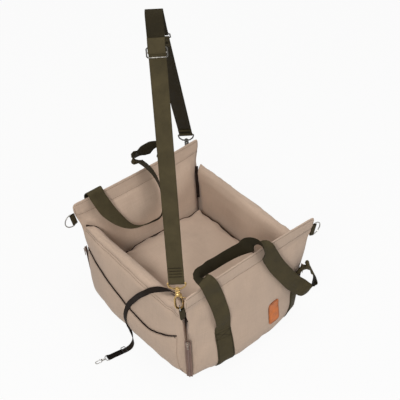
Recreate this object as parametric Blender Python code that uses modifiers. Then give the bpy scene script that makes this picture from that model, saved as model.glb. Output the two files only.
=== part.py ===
# Dog car seat: a soft open box of four padded walls round a thick booster
# cushion, zipped at its corners, with two carry handles, four D-rings,
# a shoulder strap clipped on by two snap hooks, and a tether with its own hook.
# Front is -Y, the pocket side is -X, and the seat stands on z = 0.

import math

import bmesh
import bpy
from mathutils import Matrix, Vector
from mathutils.bvhtree import BVHTree

# Driving dimensions, in metres

# Footprint and walls
BASE_WIDTH = 0.405
BASE_DEPTH = 0.450
SIDE_HEIGHT = 0.284
SIDE_THICKNESS = 0.0455
SIDE_TOP_THICKNESS = 0.036
SIDE_FLARE = 0.020
SIDE_BULGE = 0.028
END_HEIGHT = 0.362
END_THICKNESS = 0.076
END_FLARE = 0.014
END_BULGE = 0.044
END_PUFF = 0.012
HEM_THICKNESS = 0.006
HEM_DEPTH = 0.042
HEM_ARCH = 0.010
EAR_REACH = 0.240
FRONT_LEFT_EAR_REACH = 0.229
BACK_RIGHT_EAR_REACH = 0.223
CORNER_GAP = 0.020
BACK_CORNER_GAP = 0.008
EAR_POINT = 0.005
PANEL_THICKNESS = 0.003
PANEL_CORNER = 0.030
PANEL_INSET = 0.006

# Booster inside the walls
BOARD_THICKNESS = 0.003
FOAM_TOP = 0.120
FOAM_EDGE = 0.008
CUSHION_TOP = 0.180
CUSHION_CROWN = 0.012
CUSHION_TUCK = 0.008
CUSHION_GAP = 0.002

# Clearances: between parts, and of sewn-on pieces to the cloth under them
CLEARANCE = 0.0003
ON_CLOTH = 0.0010
ON_TAPE = 0.0008
OVERRUN = 0.002

# Webbing
WEB_THICKNESS = 0.0016
HANDLE_WIDTH = 0.050
HANDLE_INSET = 0.055
HANDLE_LOW_INSET = 0.071
FRONT_HANDLE_SHIFT = 0.031
BACK_HANDLE_SHIFT = -0.012
RUN_LOW = 0.020
RUN_TOP = 0.186
LEAVE_RISE = 0.012
STRAP_WIDTH = 0.040
TETHER_WIDTH = 0.016
TAB_WIDTH = 0.038
TAB_REACH = 0.012
REAR_TAB_REACH = 0.008
REAR_TAB_INSET = 0.006

# Pockets, label and corner zips
POCKET_THICKNESS = 0.0020
POCKET_INSET = 0.029
POCKET_LOW = 0.016
POCKET_MOUTH = 0.092
POCKET_RISE = 0.060
LABEL_WIDTH = 0.042
LABEL_HEIGHT = 0.078
LABEL_THICKNESS = 0.0016
LABEL_X = 0.067
LABEL_Z = 0.127
ZIP_TOP = 0.184
ZIP_LOW = 0.016
ZIP_TAPE_HALF = 0.0085
ZIP_TAPE_THICKNESS = 0.0010
COIL_HALF = 0.0024
COIL_THICKNESS = 0.0020
SLIDER_HALF = 0.0052
SLIDER_LENGTH = 0.012
SLIDER_THICKNESS = 0.0042
PULL_LENGTH = 0.024
PULL_HALF = 0.0030
PULL_THICKNESS = 0.0012

# D-rings
RING_WIDTH = 0.041
RING_DEPTH = 0.024
RING_WIRE = 0.0016
TAB_DROP = 0.050
REAR_TAB_DROP = 0.094

# Shoulder strap: its top, and the places of its adjuster and ring
STRAP_TOP_X = -0.126
STRAP_TOP_Y = -0.025
STRAP_TOP_Z = 1.042
STRAP_BEND = 0.0045
SEWN_END = 0.045
ADJUSTER_DROP = 0.088
ADJUSTER_HALF_HEIGHT = 0.011
ADJUSTER_BAR = 0.0018
RING_DROP = 0.120
LOOP_RING_HALF_HEIGHT = 0.0100

# Tether and its small adjuster
TETHER_LEG = 0.062
TETHER_ADJUSTER_BAR = 0.0012
TETHER_ADJUSTER_HALF = 0.0060

FRONT = -1
BACK = 1
LEFT = -1
RIGHT = 1

# Fineness: weld distance, steps along straps, rows and columns of sheets
WELD = 0.00001
STRAIGHT_SHARE = 0.9998
POCKET_COLUMNS = 16
POCKET_ROWS = 7
LABEL_COLUMNS = 4
LABEL_ROWS = 6
RUN_STEPS = 14
LOOP_STEPS = 3
RING_STEPS = 12
TAB_WRAP_STEPS = 7
ZIP_PROBES = 8
HOOK_SIDES = 12
STRAP_STEPS = 2
WRAP_STEPS = 4
TETHER_STEPS = 3
ANCHOR_ROWS = 7

# Soft forms: shares of height and of swell at each row of a wall or cushion
FLOOR = PANEL_THICKNESS + CLEARANCE
END_ROW_SHARES = (0.0, 0.05, 0.22, 0.50, 0.76, 0.885, 1.0)
END_SWELL_SHARES = (0.12, 0.65, 1.0, 0.80, 0.42, 0.02, 0.0)
END_PUFF_SHARES = (0.0, 0.0, 0.0, 0.1, 1.0, 0.1, 0.0)
SIDE_ROW_SHARES = (0.0, 0.06, 0.28, 0.62, 0.90, 1.0)
SIDE_SWELL_SHARES = (0.10, 0.62, 1.0, 0.85, 0.40, 0.0)
END_FULL_SHARE = 2.5
BACK_FULL_SHARE = 5.0
WALL_COLUMN_SHARES = (0.0, 0.035, 0.15, 0.32, 0.5, 0.68, 0.85, 0.965, 1.0)
CUSHION_ROW_SHARES = (0.0, 0.16, 0.88, 1.0)
CUSHION_COLUMN_SHARES = (0.0, 0.045, 0.18, 0.38, 0.62, 0.82, 0.955, 1.0)

# Zip tape, slider bail and pull
ZIP_FAN_SHARES = (-1.0, -0.5, -0.25, 0.0, 0.25, 0.5, 1.0)
BAIL_HALF = 0.0030
BAIL_HEIGHT = 0.0030
BAIL_WIRE = 0.00055
BAIL_SHARES = ((-1.0, -0.15), (-1.0, 0.55), (-0.65, 1.0), (0.65, 1.0), (1.0, 0.55), (1.0, -0.15))
PULL_LIFT = 0.0012
PULL_RIM = 0.0007
PULL_WINDOW_HALF = 0.0016
PULL_WINDOW_LOW = 0.0058
PULL_SHARES = ((-1.0, 0.0), (-0.75, 0.029), (0.75, 0.029), (1.0, 0.0), (1.0, -0.26), (0.7, -0.62),
               (1.0, -1.0), (-1.0, -1.0), (-0.7, -0.62), (-1.0, -0.26))

# Snap hooks: an eye for the webbing, a body that swivels in it, a sprung gate
HOOK_EYE_HEIGHT = 0.018
HOOK_EYE_WIRE = 0.0021
HOOK_EYE_PLAY = 0.0006
HOOK_BOSS_RADIUS = 0.0062
HOOK_BOSS_HEIGHT = 0.008
HOOK_STEM_RADIUS = 0.0022
HOOK_HEAD_RADIUS = 0.0042
HOOK_HEAD_HEIGHT = 0.0018
HOOK_BARREL_RADIUS = 0.0068
HOOK_BARREL_LENGTH = 0.018
HOOK_BOW_WIRE = 0.0031
HOOK_BOW_HALF = 0.0100
HOOK_BOW_LENGTH = 0.050
HOOK_HUB_RADIUS = 0.0036
HOOK_HUB_HALF = 0.0026
HOOK_HUB_X = 0.0062
HOOK_PIN_RADIUS = 0.0012
HOOK_CHEEK = 0.0016
HOOK_GATE_WIRE = 0.0023
HOOK_GATE_GAP = 0.0012
HOOK_SPUR = 0.0080
HOOK_LINK_DROP = 0.0095
HOOK_TIP_SHARE = 0.60
SMALL_HOOK_SHARE = 0.42
EYE_SHARES = ((0.0, 0.0), (0.5, 0.10), (0.88, 0.42), (1.0, 0.78), (1.0, 0.92), (0.95, 1.0))
BOSS_SHARES = ((0, 1), (0.8, 1), (1, 0.8), (1, 0.2), (0.8, 0), (0, 0))
HEAD_SHARES = ((0, 1), (0.7, 1), (1, 0.5), (1, 0))
BARREL_SHARES = ((0.75, 0), (1, 0.12), (1, 0.34), (0.8, 0.42), (0.8, 0.52), (1, 0.6), (1, 0.94),
                 (0.9, 1), (0, 1))
CHEEK_TOP_SHARE = 0.85
CHEEK_SHARES = ((-1, -0.4), (-0.4, -1), (0.4, -1), (1, -0.4), (1, 0.6))
PIN_SHARE = 0.7
LEVER_SHARES = ((0, 0), (0.7, 0.3), (1, 0.6), (1, 1))
SPUR_SHARE = 0.42
SPUR_SHARES = (0.8, 0.6)
BOW_SHARES = ((-0.30, 0.06), (-0.30, -0.02), (-0.62, -0.10), (-0.95, -0.26), (-1.0, -0.48), (-1.0, -0.72),
              (-0.80, -0.90), (-0.42, -0.98), (0.0, -1.0), (0.42, -0.98), (0.80, -0.90), (1.0, -0.76))
HOOK_RING_ANGLE = math.radians(50)

# Label, D-rings, strap frames and tether
LABEL_CORNER_SHARE = 0.16
TAB_PLAY = 0.0002
TAB_TURN = math.radians(115)
MIDDLE_BAR_SHARE = 0.9
LEAD_SHARES = (4.5, 3.0)
BEND_SHARES = (3.0, 0.8, 0.9, 0.95)
PLY_SHARES = (1.5, 2.5)
FRAME_CORNER = 0.0026
TETHER_FRAME_CORNER = 0.0018
TETHER_ROUTE = (
    ((-0.1640, -0.162, 0.2260), (0, 1, 0)),
    ((-0.1695, -0.160, 0.2480), (0, 1, 0)),
    ((-0.1780, -0.154, 0.2700), (-0.1, 1, 0)),
    ((-0.1920, -0.142, 0.2900), (-0.3, 1, 0)),
    ((-0.2120, -0.122, 0.2945), (-0.5, 1, 0)),
    ((-0.2290, -0.103, 0.2880), (-0.4, 1, 0)),
    ((-0.2400, -0.086, 0.2700), (-0.1, 1, 0.5)),
    ((-0.2435, -0.063, 0.2420), (0, 1, 0.8)),
    ((-0.2440, -0.040, 0.2080), (0, 1, 0.5)),
    ((-0.2440, -0.014, 0.1640), (0, 1, 0.2)),
    ((-0.2440, -0.005, 0.1200), (0.1, 1, 0)),
    ((-0.2440, -0.004, 0.0880), (0.4, 1, -0.2)),
    ((-0.2450, -0.012, 0.0590), (0.8, 0.8, -0.2)),
    ((-0.2460, -0.024, 0.0380), (0.6, 0.9, 0)),
    ((-0.2500, -0.028, 0.0180), (0.3, 1, 0)),
    ((-0.2580, -0.0275, 0.0070), (0.1, 1, 0)),
    ((-0.2680, -0.0260, 0.0028), (0, 1, 0)),
)
TETHER_FLOOR = 0.0018
TETHER_LEG_SHARES = (0.25, 0.75, 0.30, 0.18)
TETHER_HOOK_TURN = math.radians(0)
TETHER_WAY = (-0.985, 0.17, 0)
TETHER_ANCHOR_LENGTH = 0.030
LEAVE_SHARE = 0.06
RUN_SPACING_SHARE = 1.6
RING_INWARD = math.radians(-122)
RING_REST = math.radians(0)
RING_BEHIND = math.radians(5)

# Stations of the free handle loops: the share of half the runs' spacing along the
# wall, the share of the wall's thickness outward from its hem, the share of its
# height, and the way the strap's width lies
FRONT_LOOP_SHARES = (
    (-1.000, 0.345, 0.522, (1, 0, 0)),
    (-1.010, 0.310, 0.610, (1, 0, 0)),
    (-1.060, 0.225, 0.760, (1, 0, 0)),
    (-1.150, 0.120, 0.910, (1, 0, 0.1)),
    (-1.235, 0.100, 1.005, (1, 0.1, 0.1)),
    (-1.300, -0.010, 1.062, (1, 0.3, 0)),
    (-1.330, -0.180, 1.072, (0.8, 0.4, -0.4)),
    (-1.265, -0.350, 1.068, (0.4, 0.2, -0.9)),
    (-1.120, -0.430, 1.062, (0.1, 0, -1)),
    (-0.879, -0.447, 1.053, (0, 0, -1)),
    (-0.584, -0.447, 1.051, (0, 0, -1)),
    (-0.322, -0.340, 1.066, (0, 0, -1)),
    (-0.103, -0.060, 1.108, (-0.45, -0.1, -0.88)),
    (0.016, 0.140, 1.070, (-0.7, -0.1, -0.7)),
    (0.153, 0.220, 0.950, (-0.8, 0, -0.6)),
    (0.308, 0.290, 0.816, (-0.8, 0, -0.6)),
    (0.495, 0.370, 0.688, (-0.8, 0, -0.6)),
    (0.688, 0.460, 0.562, (-0.75, 0, -0.65)),
    (0.875, 0.500, 0.470, (-0.65, 0, -0.75)),
    (1.000, 0.590, 0.415, (-0.4, 0.1, -0.9)),
    (1.130, 0.640, 0.405, (0.0, 0.4, -0.9)),
    (1.225, 0.600, 0.445, (0.35, 0.55, -0.75)),
    (1.220, 0.565, 0.510, (0.45, 0.6, -0.65)),
    (1.165, 0.490, 0.580, (0.6, 0.6, -0.5)),
    (1.090, 0.400, 0.620, (0.85, 0.4, -0.25)),
    (1.025, 0.330, 0.595, (1, 0.1, 0)),
    (1.000, 0.335, 0.522, (1, 0, 0)),
)
BACK_LOOP_SHARES = (
    (-1.000, 0.345, 0.522, (1, 0, 0)),
    (-1.005, 0.310, 0.610, (1, 0, 0)),
    (-1.010, 0.215, 0.760, (1, 0, 0)),
    (-1.020, 0.115, 0.910, (1, 0, 0)),
    (-1.035, 0.095, 1.005, (1, 0, 0)),
    (-1.035, -0.060, 1.040, (1, 0, 0)),
    (-1.010, -0.260, 0.985, (1, 0.1, 0)),
    (-0.920, -0.560, 0.870, (0.95, 0.1, -0.1)),
    (-0.730, -0.960, 0.760, (0.8, 0.35, -0.35)),
    (-0.480, -1.180, 0.690, (0.55, 0.5, -0.6)),
    (-0.190, -1.270, 0.665, (0.45, 0.5, -0.7)),
    (0.070, -1.300, 0.680, (0.45, 0.5, -0.7)),
    (0.210, -1.080, 0.770, (0.5, 0.5, -0.7)),
    (0.280, -0.760, 0.870, (0.5, 0.5, -0.65)),
    (0.220, -0.420, 1.000, (0.6, 0.5, -0.5)),
    (0.090, -0.020, 1.080, (0.6, 0.5, -0.4)),
    (0.060, 0.260, 1.080, (0.2, 0.6, -0.75)),
    (0.220, 0.420, 1.080, (0.2, 0.4, -0.9)),
    (0.450, 0.440, 1.070, (0.4, 0.1, -0.9)),
    (0.700, 0.420, 1.030, (0.8, 0, -0.6)),
    (0.900, 0.330, 0.900, (1, 0, -0.2)),
    (0.990, 0.270, 0.700, (1, 0, 0)),
    (1.000, 0.335, 0.522, (1, 0, 0)),
)


# Scene and helpers

def clear_scene():
    for item in list(bpy.data.objects):
        bpy.data.objects.remove(item, do_unlink=True)


def new_collection(name):
    group = bpy.data.collections.new(name)
    bpy.context.scene.collection.children.link(group)
    return group


def material(name, colour, roughness, metallic=0.0):
    made = bpy.data.materials.new(name)
    made.use_nodes = True
    shader = made.node_tree.nodes["Principled BSDF"]
    shader.inputs["Base Color"].default_value = (*colour, 1.0)
    shader.inputs["Roughness"].default_value = roughness
    shader.inputs["Metallic"].default_value = metallic
    return made


def add_mesh(name, mesh, finish, group):
    item = bpy.data.objects.new(name, mesh)
    mesh.materials.append(finish)
    group.objects.link(item)
    mesh.shade_smooth()
    return item


def mesh_from(name, points, faces):
    mesh = bpy.data.meshes.new(name)
    mesh.from_pydata([tuple(point) for point in points], [], faces)
    mesh.update()
    return mesh


def face_outward(bm):
    bmesh.ops.recalc_face_normals(bm, faces=bm.faces)
    if bm.calc_volume(signed=True) < 0:
        bmesh.ops.reverse_faces(bm, faces=bm.faces)


def mesh_of(name, item):
    # a plain mesh of what an object shows, with the curve caps welded
    depsgraph = bpy.context.evaluated_depsgraph_get()
    mesh = bpy.data.meshes.new_from_object(item.evaluated_get(depsgraph))
    bm = bmesh.new()
    bm.from_mesh(mesh)
    bmesh.ops.remove_doubles(bm, verts=bm.verts, dist=WELD)
    face_outward(bm)
    bm.to_mesh(mesh)
    bm.free()
    mesh.name = name
    return mesh


def solid_from_curve(name, curve_item, finish, group):
    mesh = mesh_of(name, curve_item)
    mesh.materials.clear()
    frame = curve_item.matrix_world.copy()
    bpy.data.objects.remove(curve_item, do_unlink=True)
    item = add_mesh(name, mesh, finish, group)
    item.matrix_world = frame
    return item


def modifier(item, kind, **values):
    added = item.modifiers.new(kind.title(), kind)
    for key, value in values.items():
        setattr(added, key, value)
    return added


def boolean(item, other, operation):
    modifier(item, "BOOLEAN", operation=operation, object=other, solver="EXACT")
    bpy.context.view_layer.update()
    mesh = mesh_of(item.name, item)
    item.modifiers.clear()
    item.data = mesh
    bpy.data.objects.remove(other, do_unlink=True)


def slopes_of(points):
    # unit slopes through the points, each weighted to its nearer neighbour
    slopes = []
    for index in range(len(points)):
        before = points[max(index - 1, 0)]
        here = points[index]
        after = points[min(index + 1, len(points) - 1)]
        reach = (here - before).length
        ahead = (after - here).length
        slope = (here - before).normalized() * ahead + (after - here).normalized() * reach
        if reach == 0 or ahead == 0:
            slope = after - before
        slopes.append(slope.normalized())
    return slopes


def smooth_path(points, sides, steps):
    # a rounded path through the points, with one step where it runs straight
    slopes = slopes_of(points)
    path = []
    ways = []
    for index in range(len(points) - 1):
        start = points[index]
        end = points[index + 1]
        reach = (end - start).length
        chord = (end - start).normalized()
        bend = min(slopes[index].dot(chord), slopes[index + 1].dot(chord))
        turn = sides[index].normalized().dot(sides[index + 1].normalized())
        count = 1 if min(bend, turn) > STRAIGHT_SHARE else steps
        for step in range(count):
            t = step / count
            rise = ease(t)
            leave = slopes[index] * reach * t * (1 - t) ** 2
            arrive = slopes[index + 1] * reach * t * t * (1 - t)
            path.append(start.lerp(end, rise) + leave - arrive)
            ways.append(sides[index].lerp(sides[index + 1], t))
    path.append(points[-1].copy())
    ways.append(sides[-1].copy())
    return path, ways


def square_to(direction, side):
    return (side - direction * side.dot(direction)).normalized()


def tangents(path):
    last = len(path) - 1
    return [(path[min(i + 1, last)] - path[max(i - 1, 0)]).normalized() for i in range(last + 1)]


def ribbon(name, stations, width, thickness, steps, finish, group):
    # a strap: stations are pairs of a centre point and the way its width lies
    path, sides = smooth_path([station[0] for station in stations], [station[1] for station in stations], steps)
    points = []
    for centre, side, along in zip(path, sides, tangents(path)):
        across = square_to(along, side) * width / 2
        points.append(centre - across)
        points.append(centre + across)
    faces = [(2 * i, 2 * i + 1, 2 * i + 3, 2 * i + 2) for i in range(len(path) - 1)]
    item = add_mesh(name, mesh_from(name, points, faces), finish, group)
    modifier(item, "SOLIDIFY", thickness=thickness, offset=0.0, use_even_offset=False)
    return item


def sheet(name, rows, outward, thickness, finish, group):
    # a sheet on a grid of points, thickened on its outward side
    count = len(rows[0])
    points = [point for row in rows for point in row]
    faces = []
    for i in range(len(rows) - 1):
        for j in range(count - 1):
            start = i * count + j
            faces.append((start, start + 1, start + count + 1, start + count))
    mesh = mesh_from(name, points, faces)
    if sum(face.normal.dot(outward) for face in mesh.polygons) < 0:
        mesh.flip_normals()
    item = add_mesh(name, mesh, finish, group)
    modifier(item, "SOLIDIFY", thickness=thickness, offset=1.0, use_even_offset=False)
    return item


def cage(name, counts, place, levels, finish, group):
    # a soft form: a cube cut into columns, layers and rows, then moved to shape
    bm = bmesh.new()
    bmesh.ops.create_cube(bm, size=2)
    for axis, count in enumerate(counts):
        normal = Vector((0, 0, 0))
        normal[axis] = 1
        for step in range(1, count):
            every = bm.verts[:] + bm.edges[:] + bm.faces[:]
            middle = normal * (2 * step / count - 1)
            bmesh.ops.bisect_plane(bm, geom=every, plane_co=middle, plane_no=normal)
    for vert in bm.verts:
        index = [round((vert.co[axis] + 1) * counts[axis] / 2) for axis in range(3)]
        vert.co = place(*index)
    face_outward(bm)
    mesh = bpy.data.meshes.new(name)
    bm.to_mesh(mesh)
    bm.free()
    item = add_mesh(name, mesh, finish, group)
    modifier(item, "SUBSURF", levels=levels, render_levels=levels)
    return item


def box(name, low, high, finish, group):
    bm = bmesh.new()
    bmesh.ops.create_cube(bm, size=1)
    middle = (low + high) / 2
    extent = high - low
    for vert in bm.verts:
        vert.co = middle + Vector([vert.co[axis] * extent[axis] for axis in range(3)])
    mesh = bpy.data.meshes.new(name)
    bm.to_mesh(mesh)
    bm.free()
    return add_mesh(name, mesh, finish, group)


def wire(name, points, radius, closed, finish, group, frame=None, resolution=2, shares=None):
    # round wire along straight runs between the points
    data = bpy.data.curves.new(name, "CURVE")
    data.dimensions = "3D"
    data.bevel_depth = radius
    data.bevel_resolution = resolution
    data.use_fill_caps = True
    spline = data.splines.new("POLY")
    spline.points.add(len(points) - 1)
    for index, point in enumerate(points):
        spline.points[index].co = (*point, 1)
        if shares:
            spline.points[index].radius = shares[index]
    spline.use_cyclic_u = closed
    item = bpy.data.objects.new(name, data)
    group.objects.link(item)
    if frame:
        item.matrix_world = frame
    bpy.context.view_layer.update()
    return solid_from_curve(name, item, finish, group)


def turned(name, profile, sides, finish, group, frame=None):
    # a turned piece: pairs of radius and height, top to bottom, about local Z
    points = [(radius, 0, height) for radius, height in profile]
    edges = [(i, i + 1) for i in range(len(points) - 1)]
    mesh = bpy.data.meshes.new(name)
    mesh.from_pydata(points, edges, [])
    item = add_mesh(name, mesh, finish, group)
    modifier(item, "SCREW", steps=sides, render_steps=sides, use_merge_vertices=True,
             merge_threshold=WELD, use_smooth_shade=True)
    if frame:
        item.matrix_world = frame
    bpy.context.view_layer.update()
    solid = mesh_of(name, item)
    item.modifiers.clear()
    item.data = solid
    return item


def frame_of(origin, x_axis, y_axis):
    z_axis = x_axis.cross(y_axis).normalized()
    y_axis = z_axis.cross(x_axis).normalized()
    turn = Matrix((x_axis.normalized(), y_axis, z_axis)).transposed()
    return Matrix.Translation(origin) @ turn.to_4x4()


def arc(radius, start, end, count):
    turn = (end - start) / count
    return [(radius * math.cos(start + turn * i), radius * math.sin(start + turn * i))
            for i in range(count + 1)]


# Wall surfaces, as functions of height

def mix(low, high, share):
    return low + (high - low) * share


def ease(share):
    share = min(max(share, 0.0), 1.0)
    return share * share * (3 - 2 * share)


def side_outer(z):
    return BASE_WIDTH / 2 + SIDE_FLARE * z / SIDE_HEIGHT


def end_outer(z):
    return BASE_DEPTH / 2 + END_FLARE * z / END_HEIGHT


def side_inner(z):
    low = BASE_WIDTH / 2 - SIDE_THICKNESS
    high = side_outer(SIDE_HEIGHT) - SIDE_TOP_THICKNESS
    share = (z - CUSHION_TOP) / (SIDE_HEIGHT - CUSHION_TOP)
    return mix(low, high, min(max(share, 0.0), 1.0))


def end_inner(z):
    stitch = END_HEIGHT - HEM_DEPTH
    low = BASE_DEPTH / 2 - END_THICKNESS
    high = end_outer(stitch) - HEM_THICKNESS
    if z > stitch:
        return end_outer(z) - HEM_THICKNESS
    share = (z - CUSHION_TOP) / (stitch - CUSHION_TOP)
    return mix(low, high, max(share, 0.0))


def ear_tip(facing, hand):
    # the strap draws two ears in, at opposite corners
    if (facing, hand) == (FRONT, LEFT):
        return FRONT_LEFT_EAR_REACH
    if (facing, hand) == (BACK, RIGHT):
        return BACK_RIGHT_EAR_REACH
    return EAR_REACH


def ear_reach(z, tip):
    # the end walls follow the corner up to the zip's top, then spread to the ears
    share = (z - ZIP_TOP) / (END_HEIGHT - ZIP_TOP)
    return mix(side_outer(z), tip, ease(share))


def fullness(share, power=END_FULL_SHARE):
    # how far the stuffing swells along a wall: none at its ends
    return 1 - abs(2 * share - 1) ** power


def end_wall(name, facing, arch, finish, group):
    def place(column, layer, row):
        share = WALL_COLUMN_SHARES[column]
        across = 2 * share - 1
        crest = END_HEIGHT + arch * fullness(share)
        point = EAR_POINT if share in (0.0, 1.0) and END_ROW_SHARES[row] == 1.0 else 0.0
        z = mix(FLOOR, crest, END_ROW_SHARES[row])
        depth = layer / 2
        outer = ear_reach(z, ear_tip(facing, LEFT if across < 0 else RIGHT))
        inner = side_inner(z)
        if z > SIDE_HEIGHT:
            inner = outer - HEM_THICKNESS
        reach = mix(outer, inner, depth)
        swell = END_BULGE * END_SWELL_SHARES[row] * fullness(share)
        puff = END_PUFF * END_PUFF_SHARES[row] * fullness(share)
        y = mix(end_outer(z) + swell, end_inner(z) - puff, depth)
        return Vector((across * (reach + point - CLEARANCE), facing * y, z + point))

    return cage(name, (len(WALL_COLUMN_SHARES) - 1, 2, len(END_ROW_SHARES) - 1), place, 1, finish, group)


def side_wall(name, facing, finish, group):
    def place(column, layer, row):
        share = WALL_COLUMN_SHARES[column]
        along = 2 * share - 1
        z = mix(FLOOR, SIDE_HEIGHT, SIDE_ROW_SHARES[row])
        depth = layer / 2
        widest = CORNER_GAP if along < 0 else BACK_CORNER_GAP
        gap = widest * ease((z - ZIP_TOP) / (SIDE_HEIGHT - ZIP_TOP))
        reach = mix(end_outer(z), end_inner(z), depth) - gap
        power = END_FULL_SHARE if along < 0 else BACK_FULL_SHARE
        swell = SIDE_BULGE * SIDE_SWELL_SHARES[row] * fullness(share, power)
        x = mix(side_outer(z) + swell, side_inner(z), depth)
        return Vector((facing * x, along * (reach - CLEARANCE), z))

    return cage(name, (len(WALL_COLUMN_SHARES) - 1, 2, len(SIDE_ROW_SHARES) - 1), place, 1, finish, group)


def skin_of(*items):
    # the surface of finished pieces, to seat others on
    depsgraph = bpy.context.evaluated_depsgraph_get()
    return [BVHTree.FromObject(item, depsgraph) for item in items]


def seat(skins, origin, direction, lift=ON_CLOTH):
    # the nearest surface point along a ray, lifted clear of the cloth
    best = None
    for skin in skins:
        hit, normal, _, distance = skin.ray_cast(origin, direction)
        if hit is not None and (best is None or distance < best[2]):
            best = (hit, normal, distance)
    if best is None:
        raise ValueError(f"no cloth under {origin}")
    return best[0] - direction * lift


# Base and booster

def build_base(finishes, group):
    half_x = BASE_WIDTH / 2 - PANEL_INSET
    half_y = BASE_DEPTH / 2 - PANEL_INSET
    panel = box("base_panel", Vector((-half_x, -half_y, 0)),
                Vector((half_x, half_y, PANEL_THICKNESS)), finishes["underside"], group)
    weights = panel.data.attributes.new("bevel_weight_edge", "FLOAT", "EDGE")
    for edge in panel.data.edges:
        ends = [panel.data.vertices[index].co for index in edge.vertices]
        weights.data[edge.index].value = float(ends[0].z != ends[1].z)
    modifier(panel, "BEVEL", width=PANEL_CORNER, segments=4, limit_method="WEIGHT")

    inner_x = BASE_WIDTH / 2 - SIDE_THICKNESS - CUSHION_GAP
    inner_y = BASE_DEPTH / 2 - END_THICKNESS - CUSHION_GAP
    board_low = PANEL_THICKNESS + CLEARANCE
    board_top = board_low + BOARD_THICKNESS
    box("base_board", Vector((-inner_x, -inner_y, board_low)),
        Vector((inner_x, inner_y, board_top)), finishes["board"], group)
    foam = box("booster_foam", Vector((-inner_x, -inner_y, board_top + CLEARANCE)),
               Vector((inner_x, inner_y, FOAM_TOP)), finishes["foam"], group)
    modifier(foam, "BEVEL", width=FOAM_EDGE, segments=2)


def build_cushion(finishes, group):
    half_x = BASE_WIDTH / 2 - SIDE_THICKNESS - CUSHION_GAP
    half_y = BASE_DEPTH / 2 - END_THICKNESS - CUSHION_GAP

    def place(column, line, row):
        x_share = 2 * CUSHION_COLUMN_SHARES[column] - 1
        y_share = 2 * CUSHION_COLUMN_SHARES[line] - 1
        edge = max(abs(x_share), abs(y_share))
        tuck = CUSHION_TUCK * (abs(x_share) * abs(y_share)) ** 6
        draw = CUSHION_TUCK * (1 - abs(2 * CUSHION_ROW_SHARES[row] - 1)) * edge ** 8 / 2
        low = FOAM_TOP + CLEARANCE
        crown = CUSHION_CROWN * (1 - x_share ** 4) * (1 - y_share ** 4)
        sink = CUSHION_TUCK * edge ** 10 / 2
        high = CUSHION_TOP + crown - sink
        z = mix(low, high, CUSHION_ROW_SHARES[row])
        return Vector((x_share * (half_x - tuck - draw), y_share * (half_y - tuck - draw), z))

    columns = len(CUSHION_COLUMN_SHARES) - 1
    counts = (columns, columns, len(CUSHION_ROW_SHARES) - 1)
    return cage("seat_cushion", counts, place, 1, finishes["cloth"], group)


# Pockets and label


def build_pocket(name, wall, facing, finishes, group):
    skins = skin_of(wall)
    rows = []
    for i in range(POCKET_ROWS + 1):
        row = []
        for j in range(POCKET_COLUMNS + 1):
            along = 2 * j / POCKET_COLUMNS - 1
            mouth = POCKET_MOUTH + POCKET_RISE * abs(along) ** 2.2
            y = (BASE_DEPTH / 2 - POCKET_INSET) * along
            z = mix(POCKET_LOW, mouth, (i / POCKET_ROWS) ** 1.5)
            row.append(seat(skins, Vector((facing * BASE_WIDTH, y, z)), Vector((-facing, 0, 0))))
        rows.append(row)
    outward = Vector((facing, 0, 0))
    return sheet(name, rows, outward, POCKET_THICKNESS, finishes["cloth"], group)


def build_label(wall, finishes, group):
    skins = skin_of(wall)
    rows = []
    for i in range(LABEL_ROWS + 1):
        upward = 1 - 2 * i / LABEL_ROWS
        trim = LABEL_CORNER_SHARE * LABEL_WIDTH * abs(upward) ** 8
        row = []
        for j in range(LABEL_COLUMNS + 1):
            across = 2 * j / LABEL_COLUMNS - 1
            x = LABEL_X + across * (LABEL_WIDTH / 2 - trim)
            z = LABEL_Z + upward * LABEL_HEIGHT / 2
            row.append(seat(skins, Vector((x, -BASE_DEPTH, z)), Vector((0, 1, 0))))
        rows.append(row)
    return sheet("label_patch", rows, Vector((0, -1, 0)), LABEL_THICKNESS, finishes["leather"], group)


# Carry handles: a sewn run at each end, and the free loop between them


def run_centre(shift, hand, z):
    # the sewn runs spread towards their tops
    share = (z - RUN_LOW) / (RUN_TOP - RUN_LOW)
    return shift + hand * (BASE_WIDTH / 2 - mix(HANDLE_LOW_INSET, HANDLE_INSET, share))


def sewn_run(name, wall, facing, shift, hand, finishes, group):
    skins = skin_of(wall)
    rows = []
    for i in range(RUN_STEPS + 1):
        z = mix(RUN_LOW, RUN_TOP, (1 - i / RUN_STEPS) ** RUN_SPACING_SHARE)
        row = []
        for share in (-1, 0, 1):
            x = run_centre(shift, hand, z) - facing * share * HANDLE_WIDTH / 2
            origin = Vector((x, facing * BASE_DEPTH, z))
            row.append(seat(skins, origin, Vector((0, -facing, 0))))
        rows.append(row)
    outward = Vector((0, facing, 0))
    return sheet(name, rows, outward, WEB_THICKNESS, finishes["webbing"], group)




def leave_run(skins, x, facing, rise, side):
    # a loop's station over its run's top, lying on the wall
    lift = ON_CLOTH + WEB_THICKNESS / 2 + rise * LEAVE_SHARE
    level = Vector((x, facing * BASE_DEPTH, RUN_TOP + ON_CLOTH + rise))
    half = Vector((HANDLE_WIDTH / 2, 0, 0))
    points = [seat(skins, level + half * probe, Vector((0, -facing, 0)), lift) for probe in (-1, 0, 1)]
    across = (points[2] - points[0]).normalized()
    if across.dot(side) < 0:
        across.negate()
    return points[1], across


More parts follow.
